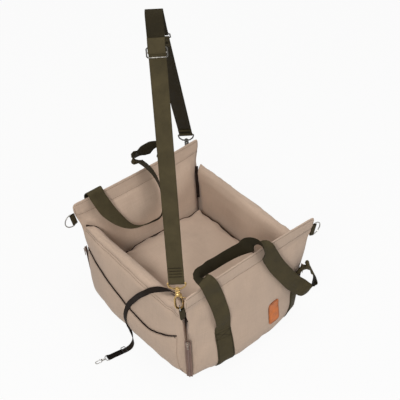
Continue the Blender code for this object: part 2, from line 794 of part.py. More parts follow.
def handle_loop(name, wall, facing, shift, shares, finishes, group):
    # the loop goes on from the tops of the two sewn runs
    hem = end_outer(END_HEIGHT)
    stations = []
    for along, outward, upward, side in shares:
        x = shift + along * (BASE_WIDTH / 2 - HANDLE_INSET)
        y = facing * (hem + outward * END_THICKNESS)
        stations.append((Vector((x, y, upward * END_HEIGHT)), Vector(side)))
    skins = skin_of(wall)
    first, last = stations[0], stations[-1]
    stations[:1] = [leave_run(skins, first[0].x, facing, rise, first[1]) for rise in (0, LEAVE_RISE)]
    stations[-1:] = [leave_run(skins, last[0].x, facing, rise, last[1]) for rise in (LEAVE_RISE, 0)]
    return ribbon(name, stations, HANDLE_WIDTH, WEB_THICKNESS, LOOP_STEPS, finishes["webbing"], group)


def build_handle(prefix, wall, facing, shift, shares, finishes, group):
    for word, hand in (("left", LEFT), ("right", RIGHT)):
        sewn_run(f"{prefix}_handle_{word}_run", wall, facing, shift, hand, finishes, group)
    handle_loop(f"{prefix}_handle_loop", wall, facing, shift, shares, finishes, group)


# D-rings and the folded tabs that hold them on the ears


def ear_edge(wall, facing, hand, middle):
    # two points just off an ear's side edge, one webbing width apart
    skins = skin_of(wall)
    way = Vector((-hand, 0, 0))
    edge = []
    for shift in (-TAB_WIDTH / 2, 0, TAB_WIDTH / 2):
        z = middle + shift
        y = facing * (end_outer(z) - HEM_THICKNESS / 2)
        origins = [Vector((hand * BASE_WIDTH, y + probe * WEB_THICKNESS, z)) for probe in (-1, 0, 1)]
        hits = [seat(skins, origin, way) for origin in origins]
        edge.append(Vector((hand * max(hit.x * hand for hit in hits), y, z)))
    low, centre, high = edge
    excess = max(centre.x * hand - (low.x + high.x) * hand / 2, 0.0)
    shift = Vector((hand * excess, 0, 0))
    return low + shift, high + shift


def ear_back(wall, facing, hand, middle):
    # two points just off an ear's outer face, close to its side edge
    skins = skin_of(wall)
    edge = ear_edge(wall, facing, hand, middle)[0]
    x = edge.x - hand * REAR_TAB_INSET
    face = []
    for shift in (-TAB_WIDTH / 2, 0, TAB_WIDTH / 2):
        z = middle + shift
        origins = [Vector((x + probe * WEB_THICKNESS, facing * BASE_DEPTH, z)) for probe in (-1, 0, 1)]
        hits = [seat(skins, origin, Vector((0, -facing, 0))) for origin in origins]
        face.append(Vector((x, facing * max(hit.y * facing for hit in hits), z)))
    low, centre, high = face
    excess = max(centre.y * facing - (low.y + high.y) * facing / 2, 0.0)
    shift = Vector((0, facing * excess, 0))
    return low + shift, high + shift


def build_ring(corner, wall, facing, hand, drop, swing, finishes, group):
    # the strap has drawn one tab round to the outer face of its ear
    drawn = drop > TAB_DROP
    place = ear_back if drawn else ear_edge
    low, high = place(wall, facing, hand, END_HEIGHT - drop)
    bar = (high - low).normalized()
    outward = square_to(bar, Vector((0, facing, 0) if drawn else (hand, 0, 0)))
    reach = REAR_TAB_REACH if drawn else TAB_REACH
    normal = bar.cross(outward)
    pivot = (low + high) / 2 + outward * reach
    hug = RING_WIRE + CLEARANCE + WEB_THICKNESS / 2 + TAB_PLAY

    edge = WEB_THICKNESS / 2 + CLEARANCE
    stations = [(pivot - outward * reach + normal * edge, bar)]
    stations.append((pivot - outward * hug * 2 + normal * edge * 2, bar))
    for along, across in arc(hug, TAB_TURN, -TAB_TURN, TAB_WRAP_STEPS):
        stations.append((pivot + outward * along + normal * across, bar))
    stations.append((pivot - outward * hug * 2 - normal * edge * 2, bar))
    stations.append((pivot - outward * reach - normal * edge, bar))
    ribbon(f"{corner}_ring_tab", stations, TAB_WIDTH, WEB_THICKNESS, 1, finishes["webbing"], group)

    half = RING_WIDTH / 2 + RING_WIRE
    points = [(half * math.cos(math.pi * i / RING_STEPS),
               RING_DEPTH * math.sin(math.pi * i / RING_STEPS), 0) for i in range(RING_STEPS + 1)]
    points.append((0, 0, 0))
    frame = frame_of(pivot, bar, Matrix.Rotation(swing, 3, bar) @ outward)
    wire(f"{corner}_d_ring", points, RING_WIRE, True, finishes["steel"], group, frame, 1)
    return frame


# Corner zips: tape, coil, slider and pull


def hull_height(samples, place):
    # the height of the samples' outer hull at a place
    best = samples[0][1]
    for left, left_height in samples:
        for right, right_height in samples:
            if left < right and left <= place <= right:
                share = (place - left) / (right - left)
                best = max(best, mix(left_height, right_height, share))
    return best


def build_zip(corner, walls, facing, hand, finishes, group):
    skins = skin_of(*walls)
    low = Vector((hand * side_outer(ZIP_LOW), facing * end_outer(ZIP_LOW), ZIP_LOW))
    high = Vector((hand * side_outer(ZIP_TOP), facing * end_outer(ZIP_TOP), ZIP_TOP))
    up = (high - low).normalized()
    out = Vector((hand, facing, 0)).normalized()
    across = up.cross(out).normalized()

    # the tape spans the crease between the walls, outside all they reach along it
    samples = []
    for step in range(-ZIP_PROBES, ZIP_PROBES + 1):
        aside = ZIP_TAPE_HALF * step / ZIP_PROBES
        proud = -BASE_WIDTH
        for i in range(ZIP_PROBES + 1):
            centre = low.lerp(high, i / ZIP_PROBES)
            hit = seat(skins, centre + across * aside + out * BASE_WIDTH, -out, ON_TAPE)
            proud = max(proud, (hit - centre).dot(out))
        samples.append((aside, proud))
    rays = []
    for share in ZIP_FAN_SHARES:
        aside = ZIP_TAPE_HALF * share
        rays.append(across * aside + out * hull_height(samples, aside))
    rows = [[end + ray for ray in rays] for end in (high, low)]
    sheet(f"{corner}_zip_tape", rows, out, ZIP_TAPE_THICKNESS, finishes["tape"], group)

    proud = max(ray.dot(out) for ray in rays) + ZIP_TAPE_THICKNESS + CLEARANCE + COIL_THICKNESS / 2
    stations = [(end + out * proud, across) for end in (low, high)]
    ribbon(f"{corner}_zip_coil", stations, 2 * COIL_HALF, COIL_THICKNESS, 1, finishes["tape"], group)

    # the slider straddles the coil at the zip's closed top, its pull hanging from a bail
    seat_height = proud - COIL_THICKNESS / 2
    frame = frame_of(high - up * SLIDER_LENGTH / 2 + out * seat_height, across, up)
    groove = COIL_HALF + CLEARANCE
    ceiling = COIL_THICKNESS + CLEARANCE
    outline = ((-SLIDER_HALF, 0), (-groove, 0), (-groove, ceiling), (groove, ceiling), (groove, 0),
               (SLIDER_HALF, 0), (SLIDER_HALF, SLIDER_THICKNESS), (-SLIDER_HALF, SLIDER_THICKNESS))
    upright = frame @ Matrix.Rotation(math.pi / 2, 4, "X")
    half = SLIDER_LENGTH / 2
    slider = prism(f"{corner}_zip_slider", outline, -half, half, finishes["zinc"], group, upright)
    bail_points = [(0, BAIL_HALF * y, SLIDER_THICKNESS + BAIL_HEIGHT * z) for y, z in BAIL_SHARES]
    bail = wire("bail", bail_points, BAIL_WIRE, False, finishes["zinc"], group, frame, 1)
    boolean(slider, bail, "UNION")

    pull_frame = frame @ Matrix.Translation((0, 0, SLIDER_THICKNESS + PULL_LIFT))
    build_pull(corner, pull_frame, finishes, group)
    return frame, pull_frame


def prism(name, outline, low, high, finish, group, frame):
    # a flat outline in local X and Y, given its thickness along local Z
    count = len(outline)
    points = [(x, y, low) for x, y in outline] + [(x, y, high) for x, y in outline]
    faces = [tuple(reversed(range(count))), tuple(range(count, 2 * count))]
    for i in range(count):
        after = (i + 1) % count
        faces.append((i, after, count + after, count + i))
    mesh = mesh_from(name, points, faces)
    bm = bmesh.new()
    bm.from_mesh(mesh)
    face_outward(bm)
    bm.to_mesh(mesh)
    bm.free()
    item = add_mesh(name, mesh, finish, group)
    item.matrix_world = frame
    return item


def build_pull(corner, frame, finishes, group):
    # a plate hanging down the zip, with its rim under the bail and a window round its leg
    outline = [(PULL_HALF * x, PULL_LENGTH * y) for x, y in PULL_SHARES]
    thickness = PULL_THICKNESS / 2
    pull = prism(f"{corner}_zip_pull", outline, -thickness, thickness, finishes["zinc"], group, frame)
    window = [(PULL_WINDOW_HALF, -PULL_RIM), (-PULL_WINDOW_HALF, -PULL_RIM),
              (-PULL_WINDOW_HALF, -PULL_WINDOW_LOW), (PULL_WINDOW_HALF, -PULL_WINDOW_LOW)]
    cutter = prism("window", window, -OVERRUN, OVERRUN, finishes["zinc"], group, frame)
    boolean(pull, cutter, "DIFFERENCE")


# Snap hooks: an eye for the webbing, a body that swivels in it, a sprung gate


def build_hook(prefix, size, strap_width, frame, turn, finish, group):
    bar_half = strap_width / 2 + HOOK_EYE_PLAY
    wire_radius = HOOK_EYE_WIRE * size ** 0.7
    boss_height = HOOK_BOSS_HEIGHT * size
    eye_height = HOOK_EYE_HEIGHT * size
    middle = boss_height / 2
    half = bar_half + wire_radius
    top = boss_height + eye_height
    span = top - middle
    right = [(half * x, 0, middle + span * z) for x, z in EYE_SHARES]
    left = [(-x, y, z) for x, y, z in right[:0:-1]]
    eye = wire(f"{prefix}_hook_eye", right + left, wire_radius, True, finish, group, frame)
    boss_radius = HOOK_BOSS_RADIUS * size
    profile = [(boss_radius * r, mix(CLEARANCE, boss_height, z)) for r, z in BOSS_SHARES]
    boss = turned("boss", profile, HOOK_SIDES, finish, group, frame)
    boolean(eye, boss, "UNION")
    stem = HOOK_STEM_RADIUS * size
    bore = stem + CLEARANCE
    drill = turned("drill", ((0, boss_height + OVERRUN), (bore, boss_height + OVERRUN),
                             (bore, -OVERRUN), (0, -OVERRUN)), HOOK_SIDES, finish, group, frame)
    boolean(eye, drill, "DIFFERENCE")

    # the body: a riveted stem, a grooved barrel and the bow
    body_frame = frame @ Matrix.Rotation(turn, 4, "Z")
    head_low = boss_height + CLEARANCE
    head_top = head_low + HOOK_HEAD_HEIGHT * size
    head = HOOK_HEAD_RADIUS * size
    barrel = HOOK_BARREL_RADIUS * size
    length = HOOK_BARREL_LENGTH * size
    profile = [(head * r, mix(head_low, head_top, z)) for r, z in HEAD_SHARES]
    profile += [(stem, head_low), (stem, 0)]
    profile += [(barrel * r, -length * z) for r, z in BARREL_SHARES]
    body = turned(f"{prefix}_hook_body", profile, HOOK_SIDES, finish, group, body_frame)
    reach = HOOK_BOW_HALF * size
    bow_length = HOOK_BOW_LENGTH * size
    bow_wire = HOOK_BOW_WIRE * size
    points = [(reach * x, 0, -length + bow_length * z) for x, z in BOW_SHARES]
    tip = (reach, 0, -length - bow_length * HOOK_TIP_SHARE)
    bow = wire("bow", points + [tip], bow_wire, False, finish, group, body_frame)
    boolean(body, bow, "UNION")
    hub_x = HOOK_HUB_X * size
    hub = HOOK_HUB_RADIUS * size
    hub_z = -length - hub - CLEARANCE * 2
    hub_half = HOOK_HUB_HALF * size
    cheek = HOOK_CHEEK * size
    for way in (-1, 1):
        inner = way * (hub_half + CLEARANCE)
        outer = way * (hub_half + CLEARANCE + cheek)
        outline = [(hub_x - hub, -length * CHEEK_TOP_SHARE)]
        outline += [(hub_x + hub * x, hub_z + hub * z) for x, z in CHEEK_SHARES]
        outline.append((barrel * CHEEK_TOP_SHARE, -length * CHEEK_TOP_SHARE))
        plate_frame = body_frame @ Matrix.Rotation(math.pi / 2, 4, "X")
        plate = prism("cheek", outline, min(-inner, -outer), max(-inner, -outer), finish, group, plate_frame)
        boolean(body, plate, "UNION")
    pin_frame = body_frame @ Matrix.Translation((hub_x, 0, hub_z)) @ Matrix.Rotation(math.pi / 2, 4, "X")
    pin = HOOK_PIN_RADIUS * size
    pin_half = hub_half + CLEARANCE + cheek * PIN_SHARE
    axle = turned("axle", ((0, pin_half), (pin, pin_half), (pin, -pin_half), (0, -pin_half)),
                  HOOK_SIDES, finish, group, pin_frame)
    boolean(body, axle, "UNION")

    # the gate: a hub on the pin, a lever down to the bow's tip and a thumb spur
    gate = turned(f"{prefix}_hook_gate", ((0, hub_half), (hub, hub_half), (hub, -hub_half), (0, -hub_half)),
                  HOOK_SIDES, finish, group, pin_frame)
    gate_wire = HOOK_GATE_WIRE * size
    lever_end = tip[2] + HOOK_GATE_GAP * size + CLEARANCE
    lever = [(mix(hub_x, reach, x), 0, mix(hub_z, lever_end, z)) for x, z in LEVER_SHARES]
    arm = wire("arm", lever, gate_wire, False, finish, group, body_frame)
    boolean(gate, arm, "UNION")
    spur_end = (reach + HOOK_SPUR * size, 0, mix(hub_z, lever_end, SPUR_SHARE))
    spur = wire("spur", [lever[1], spur_end], gate_wire * SPUR_SHARES[0], False, finish, group, body_frame,
                shares=SPUR_SHARES)
    boolean(gate, spur, "UNION")
    hole = pin + CLEARANCE
    deep = hub_half + OVERRUN
    reamer = turned("reamer", ((0, deep), (hole, deep), (hole, -deep), (0, -deep)),
                    HOOK_SIDES, finish, group, pin_frame)
    boolean(gate, reamer, "DIFFERENCE")
    return {"eye_bar": frame @ Vector((0, 0, top)), "wire": wire_radius, "body": body_frame, "pin": pin_frame}


def held_point(ring_frame):
    # the place on the upper curve of a ring where a bow hangs
    half = RING_WIDTH / 2 + RING_WIRE
    top_end = 1 if (ring_frame.to_3x3() @ Vector((1, 0, 0))).z > 0 else -1
    place = (top_end * half * math.cos(HOOK_RING_ANGLE), RING_DEPTH * math.sin(HOOK_RING_ANGLE), 0)
    return ring_frame @ Vector(place)


def hook_over_ring(prefix, ring_frame, side, finish, group):
    # the hook stands over the ring, in the plane of the strap
    lean = square_to(side, Vector((0, 0, 1)))
    height = HOOK_BARREL_LENGTH + HOOK_BOW_LENGTH - HOOK_LINK_DROP
    frame = frame_of(held_point(ring_frame) + lean * height, side, lean.cross(side))
    ring_out = ring_frame.to_3x3() @ Vector((0, 1, 0))
    bow_side = square_to(lean, ring_out.cross(lean))
    if bow_side.x < 0:
        bow_side.negate()
    turn = math.atan2(side.cross(bow_side).dot(lean), side.dot(bow_side))
    return build_hook(prefix, 1.0, STRAP_WIDTH, frame, turn, finish, group)


# Shoulder strap: one long webbing through an adjuster and a loop ring, and a short one


def wrap(centre, start, through, radius, count):
    # half a turn round a bar, from one side of it to the other
    return [centre + start * radius * math.cos(math.pi * i / count)
            + through * radius * math.sin(math.pi * i / count) for i in range(count + 1)]


def fold(centre, start, through, radius, spread):
    # a strap's two plies meeting a bar from one side, and the turn round it
    lead = centre - through * radius * LEAD_SHARES[0]
    near = centre - through * radius * LEAD_SHARES[1]
    turn = wrap(centre, start, through, radius, WRAP_STEPS)
    return [lead + start * spread, near + start * spread] + turn + [near - start * spread, lead - start * spread]


def flat_frame(name, centre, across, along, halves, radius, corner, finish, group):
    # a wire frame with cut corners, about a centre
    half_across, half_along = halves
    inner_across = half_across - corner
    inner_along = half_along - corner
    outline = ((-half_across, -inner_along), (-inner_across, -half_along), (inner_across, -half_along),
               (half_across, -inner_along), (half_across, inner_along), (inner_across, half_along),
               (-inner_across, half_along), (-half_across, inner_along))
    points = [centre + across * x + along * y for x, y in outline]
    return wire(name, points, radius, True, finish, group, resolution=1)


def build_strap(front_hook, rear_hook, top, side, finishes, group):
    front_eye = front_hook["eye_bar"]
    rear_eye = rear_hook["eye_bar"]
    up = (top - front_eye).normalized()
    down = (rear_eye - top).normalized()
    toward = side.cross(up)
    away = side.cross(down)

    far = BEND_SHARES[0]
    layer = WEB_THICKNESS + CLEARANCE * 2
    hug = HOOK_EYE_WIRE + CLEARANCE + WEB_THICKNESS / 2
    adjuster_at = top - up * ADJUSTER_DROP
    bar_lift = layer / 2 + layer + WEB_THICKNESS / 2 + CLEARANCE + ADJUSTER_BAR
    bar = adjuster_at + toward * bar_lift
    loop_at = top + down * RING_DROP
    upper_bar = loop_at - down * LOOP_RING_HALF_HEIGHT
    lower_bar = loop_at + down * LOOP_RING_HALF_HEIGHT
    grip = ADJUSTER_BAR + CLEARANCE + WEB_THICKNESS / 2

    route = [front_eye + up * SEWN_END - toward * layer / 2]
    route += fold(front_eye, -toward, -up, hug, layer / 2)
    route.append(front_eye + up * SEWN_END + toward * layer / 2)
    route.append(adjuster_at + toward * layer / 2)
    route.append(top - up * STRAP_BEND * far + toward * STRAP_BEND * BEND_SHARES[1])
    route.append(top - up * STRAP_BEND + toward * STRAP_BEND)
    route.append(top + Vector((0, 0, STRAP_BEND)))
    route.append(top + down * STRAP_BEND + away * STRAP_BEND)
    route.append(top + down * STRAP_BEND * far + away * STRAP_BEND * BEND_SHARES[1])
    route += fold(upper_bar, -away, down, grip, layer / 2)
    outer = STRAP_BEND + layer
    route.append(top + down * STRAP_BEND * far + away * outer * BEND_SHARES[2])
    route.append(top + down * STRAP_BEND + away * outer)
    route.append(top + Vector((0, 0, outer)))
    route.append(top - up * STRAP_BEND + toward * outer)
    route.append(top - up * STRAP_BEND * far + toward * outer * BEND_SHARES[3])
    route.append(adjuster_at + up * ADJUSTER_HALF_HEIGHT * far + toward * layer * PLY_SHARES[0])
    route.append(bar + up * grip - toward * grip)
    route += wrap(bar, -toward, -up, grip, WRAP_STEPS)
    route.append(bar + up * ADJUSTER_HALF_HEIGHT + toward * grip)
    route.append(adjuster_at + up * ADJUSTER_HALF_HEIGHT * far + toward * layer * PLY_SHARES[1])
    stations = [(point, side) for point in route]
    ribbon("shoulder_strap", stations, STRAP_WIDTH, WEB_THICKNESS, STRAP_STEPS, finishes["webbing"], group)

    half = STRAP_WIDTH / 2 + HOOK_EYE_PLAY + FRAME_CORNER
    adjuster = flat_frame("strap_adjuster", bar, side, up, (half, ADJUSTER_HALF_HEIGHT), ADJUSTER_BAR,
                          FRAME_CORNER, finishes["gunmetal"], group)
    ends = [bar - side * half, bar + side * half]
    middle_bar = wire("bar", ends, ADJUSTER_BAR * MIDDLE_BAR_SHARE, False, finishes["gunmetal"], group, resolution=1)
    boolean(adjuster, middle_bar, "UNION")
    flat_frame("strap_loop_ring", loop_at, side, down, (half, LOOP_RING_HALF_HEIGHT), ADJUSTER_BAR,
               FRAME_CORNER, finishes["gunmetal"], group)

    route = [lower_bar + down * SEWN_END - away * layer / 2]
    route += fold(lower_bar, -away, -down, grip, layer / 2)
    route.append(lower_bar + down * SEWN_END + away * layer / 2)
    route.append(rear_eye - down * SEWN_END + away * layer / 2)
    route += fold(rear_eye, away, down, hug, layer / 2)
    route.append(rear_eye - down * SEWN_END - away * layer / 2)
    stations = [(point, side) for point in route]
    ribbon("strap_short_end", stations, STRAP_WIDTH, WEB_THICKNESS, STRAP_STEPS, finishes["webbing"], group)


# Tether: a flat strap from inside the corner, over the side wall to the floor


def tether_start(wall, rise):
    # where the tether leaves its sewn end, inside the side wall
    first = Vector(TETHER_ROUTE[0][0])
    lift = ON_CLOTH + WEB_THICKNESS + rise * LEAVE_SHARE
    return seat(skin_of(wall), Vector((0, first.y, first.z + rise)), Vector((-1, 0, 0)), lift)


def build_tether(wall, finishes, group):
    # the last stretch is doubled: through the small adjuster, round the hook's eye and back
    up = Vector((0, 0, 1))
    last = Vector(TETHER_ROUTE[-1][0])
    along = Vector(TETHER_WAY).normalized()
    side = along.cross(up)
    size = SMALL_HOOK_SHARE
    wire_radius = HOOK_EYE_WIRE * size ** 0.7
    hug = wire_radius + CLEARANCE + WEB_THICKNESS / 2
    bar_height = TETHER_FLOOR + hug
    eye_bar = Vector((last.x, last.y, bar_height)) + along * TETHER_LEG
    height = (HOOK_BOSS_HEIGHT + HOOK_EYE_HEIGHT) * size
    frame = frame_of(eye_bar + along * height, side, side.cross(along))
    hook = build_hook("tether", size, TETHER_WIDTH, frame, TETHER_HOOK_TURN, finishes["steel"], group)

    stations = [(Vector(point), Vector(way)) for point, way in TETHER_ROUTE]
    stations[:1] = [(tether_start(wall, rise), stations[0][1]) for rise in (0, LEAVE_RISE / 2)]
    low = Vector((0, 0, TETHER_FLOOR))
    base = Vector((last.x, last.y, 0))
    grip = TETHER_ADJUSTER_BAR + CLEARANCE + WEB_THICKNESS / 2
    stations.append((base + along * TETHER_LEG * TETHER_LEG_SHARES[0] + low, side))
    stations.append((base + along * TETHER_LEG * TETHER_LEG_SHARES[1] + low, side))
    level = base + along * TETHER_LEG
    for point in wrap(Vector((level.x, level.y, bar_height)), -up, along, hug, WRAP_STEPS):
        stations.append((point, side))
    high = low + up * (WEB_THICKNESS + CLEARANCE * 2)
    for share in reversed(LEAD_SHARES):
        stations.append((level - along * hug * share + high, side))
    stations.append((base + along * TETHER_LEG * TETHER_LEG_SHARES[2] + high, side))
    ribbon("tether_strap", stations, TETHER_WIDTH, WEB_THICKNESS, TETHER_STEPS, finishes["tether"], group)

    half = TETHER_WIDTH / 2 + HOOK_EYE_PLAY + TETHER_FRAME_CORNER
    at = base + along * TETHER_LEG * TETHER_LEG_SHARES[3] + high + up * grip
    flat_frame("tether_adjuster", at, side, along, (half, TETHER_ADJUSTER_HALF), TETHER_ADJUSTER_BAR,
               TETHER_FRAME_CORNER, finishes["black"], group)
    return hook


def build_anchor(wall, finishes, group):
    # the tether's sewn end: a small box-stitched patch inside the front left corner
    skins = skin_of(wall)
    start = Vector(TETHER_ROUTE[0][0])
    rows = []
    for i in range(ANCHOR_ROWS + 1):
        z = start.z - CLEARANCE - TETHER_ANCHOR_LENGTH * i / ANCHOR_ROWS
        row = []
        for share in (-1, 0, 1):
            origin = Vector((0, start.y + share * TETHER_WIDTH / 2, z))
            row.append(seat(skins, origin, Vector((-1, 0, 0))))
        rows.append(row)
    sheet("tether_anchor", rows, Vector((1, 0, 0)), WEB_THICKNESS, finishes["tether"], group)


def build():
    clear_scene()
    group = new_collection("dog_car_seat")
    finishes = {
        "cloth": material("cloth", (0.47, 0.38, 0.31), 0.9),
        "underside": material("underside", (0.30, 0.26, 0.22), 0.9),
        "board": material("board", (0.45, 0.40, 0.32), 0.8),
        "foam": material("foam", (0.75, 0.73, 0.68), 0.95),
        "webbing": material("webbing", (0.10, 0.10, 0.06), 0.75),
        "tether": material("tether", (0.03, 0.022, 0.016), 0.7),
        "leather": material("leather", (0.55, 0.26, 0.10), 0.5),
        "tape": material("tape", (0.33, 0.22, 0.19), 0.8),
        "zinc": material("zinc", (0.30, 0.24, 0.20), 0.4, 1.0),
        "steel": material("steel", (0.62, 0.60, 0.57), 0.25, 1.0),
        "gunmetal": material("gunmetal", (0.10, 0.10, 0.09), 0.35, 1.0),
        "brass": material("brass", (0.62, 0.44, 0.18), 0.25, 1.0),
        "black": material("black", (0.02, 0.02, 0.02), 0.5),
    }
    build_base(finishes, group)
    build_cushion(finishes, group)
    front = end_wall("front_wall", FRONT, HEM_ARCH, finishes["cloth"], group)
    back = end_wall("back_wall", BACK, -HEM_ARCH / 2, finishes["cloth"], group)
    left = side_wall("left_wall", LEFT, finishes["cloth"], group)
    right = side_wall("right_wall", RIGHT, finishes["cloth"], group)
    bpy.context.view_layer.update()
    build_pocket("left_pocket", left, LEFT, finishes, group)
    build_pocket("right_pocket", right, RIGHT, finishes, group)
    build_label(front, finishes, group)
    build_handle("front", front, FRONT, FRONT_HANDLE_SHIFT, FRONT_LOOP_SHARES, finishes, group)
    build_handle("back", back, BACK, BACK_HANDLE_SHIFT, BACK_LOOP_SHARES, finishes, group)

    frames = {}
    corners = (("front_left", front, left, FRONT, LEFT, TAB_DROP, RING_INWARD),
               ("front_right", front, right, FRONT, RIGHT, TAB_DROP, RING_REST),
               ("back_left", back, left, BACK, LEFT, TAB_DROP, RING_REST),
               ("back_right", back, right, BACK, RIGHT, REAR_TAB_DROP, RING_BEHIND))
    for corner, end, flank, facing, hand, drop, swing in corners:
        frames[corner] = build_ring(corner, end, facing, hand, drop, swing, finishes, group)
        frames[corner + "_zip"] = build_zip(corner, (end, flank), facing, hand, finishes, group)

    top = Vector((STRAP_TOP_X, STRAP_TOP_Y, STRAP_TOP_Z))
    front_held = held_point(frames["front_left"])
    rear_held = held_point(frames["back_right"])
    side = (rear_held - front_held).cross(top - front_held).normalized()
    front_hook = hook_over_ring("front", frames["front_left"], side, finishes["brass"], group)
    rear_hook = hook_over_ring("rear", frames["back_right"], side, finishes["gunmetal"], group)
    build_strap(front_hook, rear_hook, top, side, finishes, group)
    tether_hook = build_tether(left, finishes, group)
    build_anchor(left, finishes, group)
    frames["front_hook"] = front_hook
    frames["rear_hook"] = rear_hook
    frames["tether_hook"] = tether_hook
    return frames


build()
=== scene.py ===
"""Looks of a padded dog car seat: cloth, webbing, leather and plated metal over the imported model."""

import math

import bmesh
import bpy
import numpy as np
from mathutils import Euler, Matrix, Vector, noise
from mathutils.bvhtree import BVHTree
from mathutils.kdtree import KDTree


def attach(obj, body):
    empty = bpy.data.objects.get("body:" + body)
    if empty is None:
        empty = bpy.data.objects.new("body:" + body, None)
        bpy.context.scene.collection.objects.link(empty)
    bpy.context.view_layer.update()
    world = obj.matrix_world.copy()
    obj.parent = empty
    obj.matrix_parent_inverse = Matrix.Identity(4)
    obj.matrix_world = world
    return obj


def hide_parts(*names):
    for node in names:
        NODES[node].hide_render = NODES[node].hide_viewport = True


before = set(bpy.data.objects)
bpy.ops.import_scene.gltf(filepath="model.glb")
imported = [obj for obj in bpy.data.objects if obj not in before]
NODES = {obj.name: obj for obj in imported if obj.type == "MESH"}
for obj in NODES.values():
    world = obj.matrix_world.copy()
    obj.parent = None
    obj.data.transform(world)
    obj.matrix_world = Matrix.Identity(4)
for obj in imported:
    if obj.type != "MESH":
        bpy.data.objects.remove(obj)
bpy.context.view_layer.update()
scene = bpy.context.scene

# Camera, solved from the photograph, in metres
CAMERA_PLACE = (-1.1745, -1.3977, 2.0457)
CAMERA_AZIMUTH = math.radians(-40.7)
CAMERA_ELEVATION = math.radians(42.0)
LENS = 81
SENSOR = 36

# The box, in metres, as the solids have it; -1 is the front and the left, 1 the back and the right
ENDS = (("front", -1), ("back", 1))
SIDES = (("left", -1), ("right", 1))
CORNERS = {f"{end}_{side}": (facing, hand) for end, facing in ENDS for side, hand in SIDES}
BASE_WIDTH = 0.405
BASE_DEPTH = 0.450
SIDE_HEIGHT = 0.284
SIDE_FLARE = 0.020
END_HEIGHT = 0.362
END_FLARE = 0.014
EAR_REACH = {(-1, -1): 0.229, (-1, 1): 0.240, (1, -1): 0.240, (1, 1): 0.223}
HEM_ARCH = {-1: 0.010, 1: -0.005}
HEM_SHARE = 0.885
CORNER_GAP = {-1: 0.020, 1: 0.008}
ZIP_TOP = 0.184
ZIP_LOW = 0.016

# Vertices nearer than this are one; a sheet's inner face lies this far off the cloth
WELD = 0.00001
LIFT = 0.0004

# Webbing: carry handles, shoulder strap, ring tabs and tether
WEB_THICKNESS = 0.0016
HANDLE_WIDTH = 0.050
HANDLE_INSET = 0.055
HANDLE_LOW_INSET = 0.071
HANDLE_SHIFT = {-1: 0.031, 1: -0.012}
RUN_TOP = 0.186
RUN_LOW = 0.020
RUN_SEAM = 0.86
RUN_BARS = (0.026, 0.150, 0.176)
RUN_CROSS = (0.151, 0.175)
JOIN_REACH = 0.09
STRAP_WIDTH = 0.040
TAB_WIDTH = 0.038
TETHER_WIDTH = 0.016
ANCHOR_LENGTH = 0.030

# Label: its middle's place across and up, its width and its height
LABEL = (0.067, 0.127, 0.042, 0.078)
LABEL_BORDER = 0.0035
LABEL_THICKNESS = 0.0016

# Pockets: the mouth is lowest at one share of the half length, and rises by its own power to each end
POCKET_HALF = 0.196
POCKET_LOW = 0.014
POCKET_MOUTH = 0.144
POCKET_LOWEST = -0.485
POCKET_RISE = {-1: (0.038, 1.8), 1: (0.073, 1.5)}
POCKET_THICKNESS = 0.0011
# the mouth's binding: its dark colour also paints the shadow of the mouth's gap
BINDING_WIDTH = 0.0038
BINDING_THICKNESS = 0.0022

# Stuffing: the cloth simulation, and how walls and cushion press on each other
FRAMES = 20
PRESSURE = 4.0
FOOT_HELD = 0.014
EDGE_HELD = 0.012
HELD_FADE = 0.010
CUSHION_FOOT = 0.128
RUMPLE = 0.0030
RUMPLE_PITCH = 0.052
CUSHION_HALF = (0.1542, 0.1462)
TUCK_IN = 0.0034
TUCK_DROP = 0.0008
TUCK_WAVE = 0.0016
TUCK_REACH = 0.045
SWELLS = {"left_padding": (0, -1, 0.014, 0.085), "right_padding": (0, 1, 0.014, 0.085),
          "front_padding": (1, -1, 0.012, 0.058), "back_padding": (1, 1, 0.008, 0.058)}
SWELL_SPREAD = 0.075
HOLLOWS = {"right_padding": (0, 1, 0.012), "back_padding": (1, 1, 0.016)}
HOLLOW_HALF = 0.200
HOLLOW_HEIGHT = 0.180
HOLLOW_SPREAD = 0.070

# Sewing: stitches as pitch, length and radius, grooves as depth, reach and pucker, and the dark cord of
# painted shade in the cushion's crease
STITCH_PITCH = 0.0042
STITCH_LENGTH = 0.0031
STITCH_RADIUS = 0.00052
STITCH_RINGS = ((-0.5, 0.35, -0.9), (-0.32, 0.9, 0.35), (0, 1.0, 0.7), (0.32, 0.9, 0.35), (0.5, 0.35, -0.9))
STRAP_STITCHES = (0.0030, 0.0026, 0.0012)
LABEL_STITCHES = (0.0034, 0.0026, 0.0004)
TACK_STITCHES = (0.0026, 0.0024, 0.0005)
ANCHOR_STITCHES = (0.0030, 0.0023, 0.0004)
HEM_GROOVE = (0.0024, 0.0038, 0.0007)
EDGE_GROOVE = (0.0006, 0.0030, 0.0003)
TOP_GROOVE = (0.0022, 0.0034, 0.0007)
PUCKER_SPREAD = 0.012
EDGE_INSET = 0.007
TOPSTITCHING = (0.013, 0.0195)
CREASE_SHADE_HEIGHT = 0.168
CREASE_SHADE_HALF = (0.158, 0.151)
CREASE_SHADE_RADIUS = 0.0026
# dark strips of painted shade in the inner corners: their lowest height, inset and width
CORNER_SHADE_LOW = 0.178
CORNER_SHADE_INSET = 0.0055
CORNER_SHADE_WIDTH = 0.011

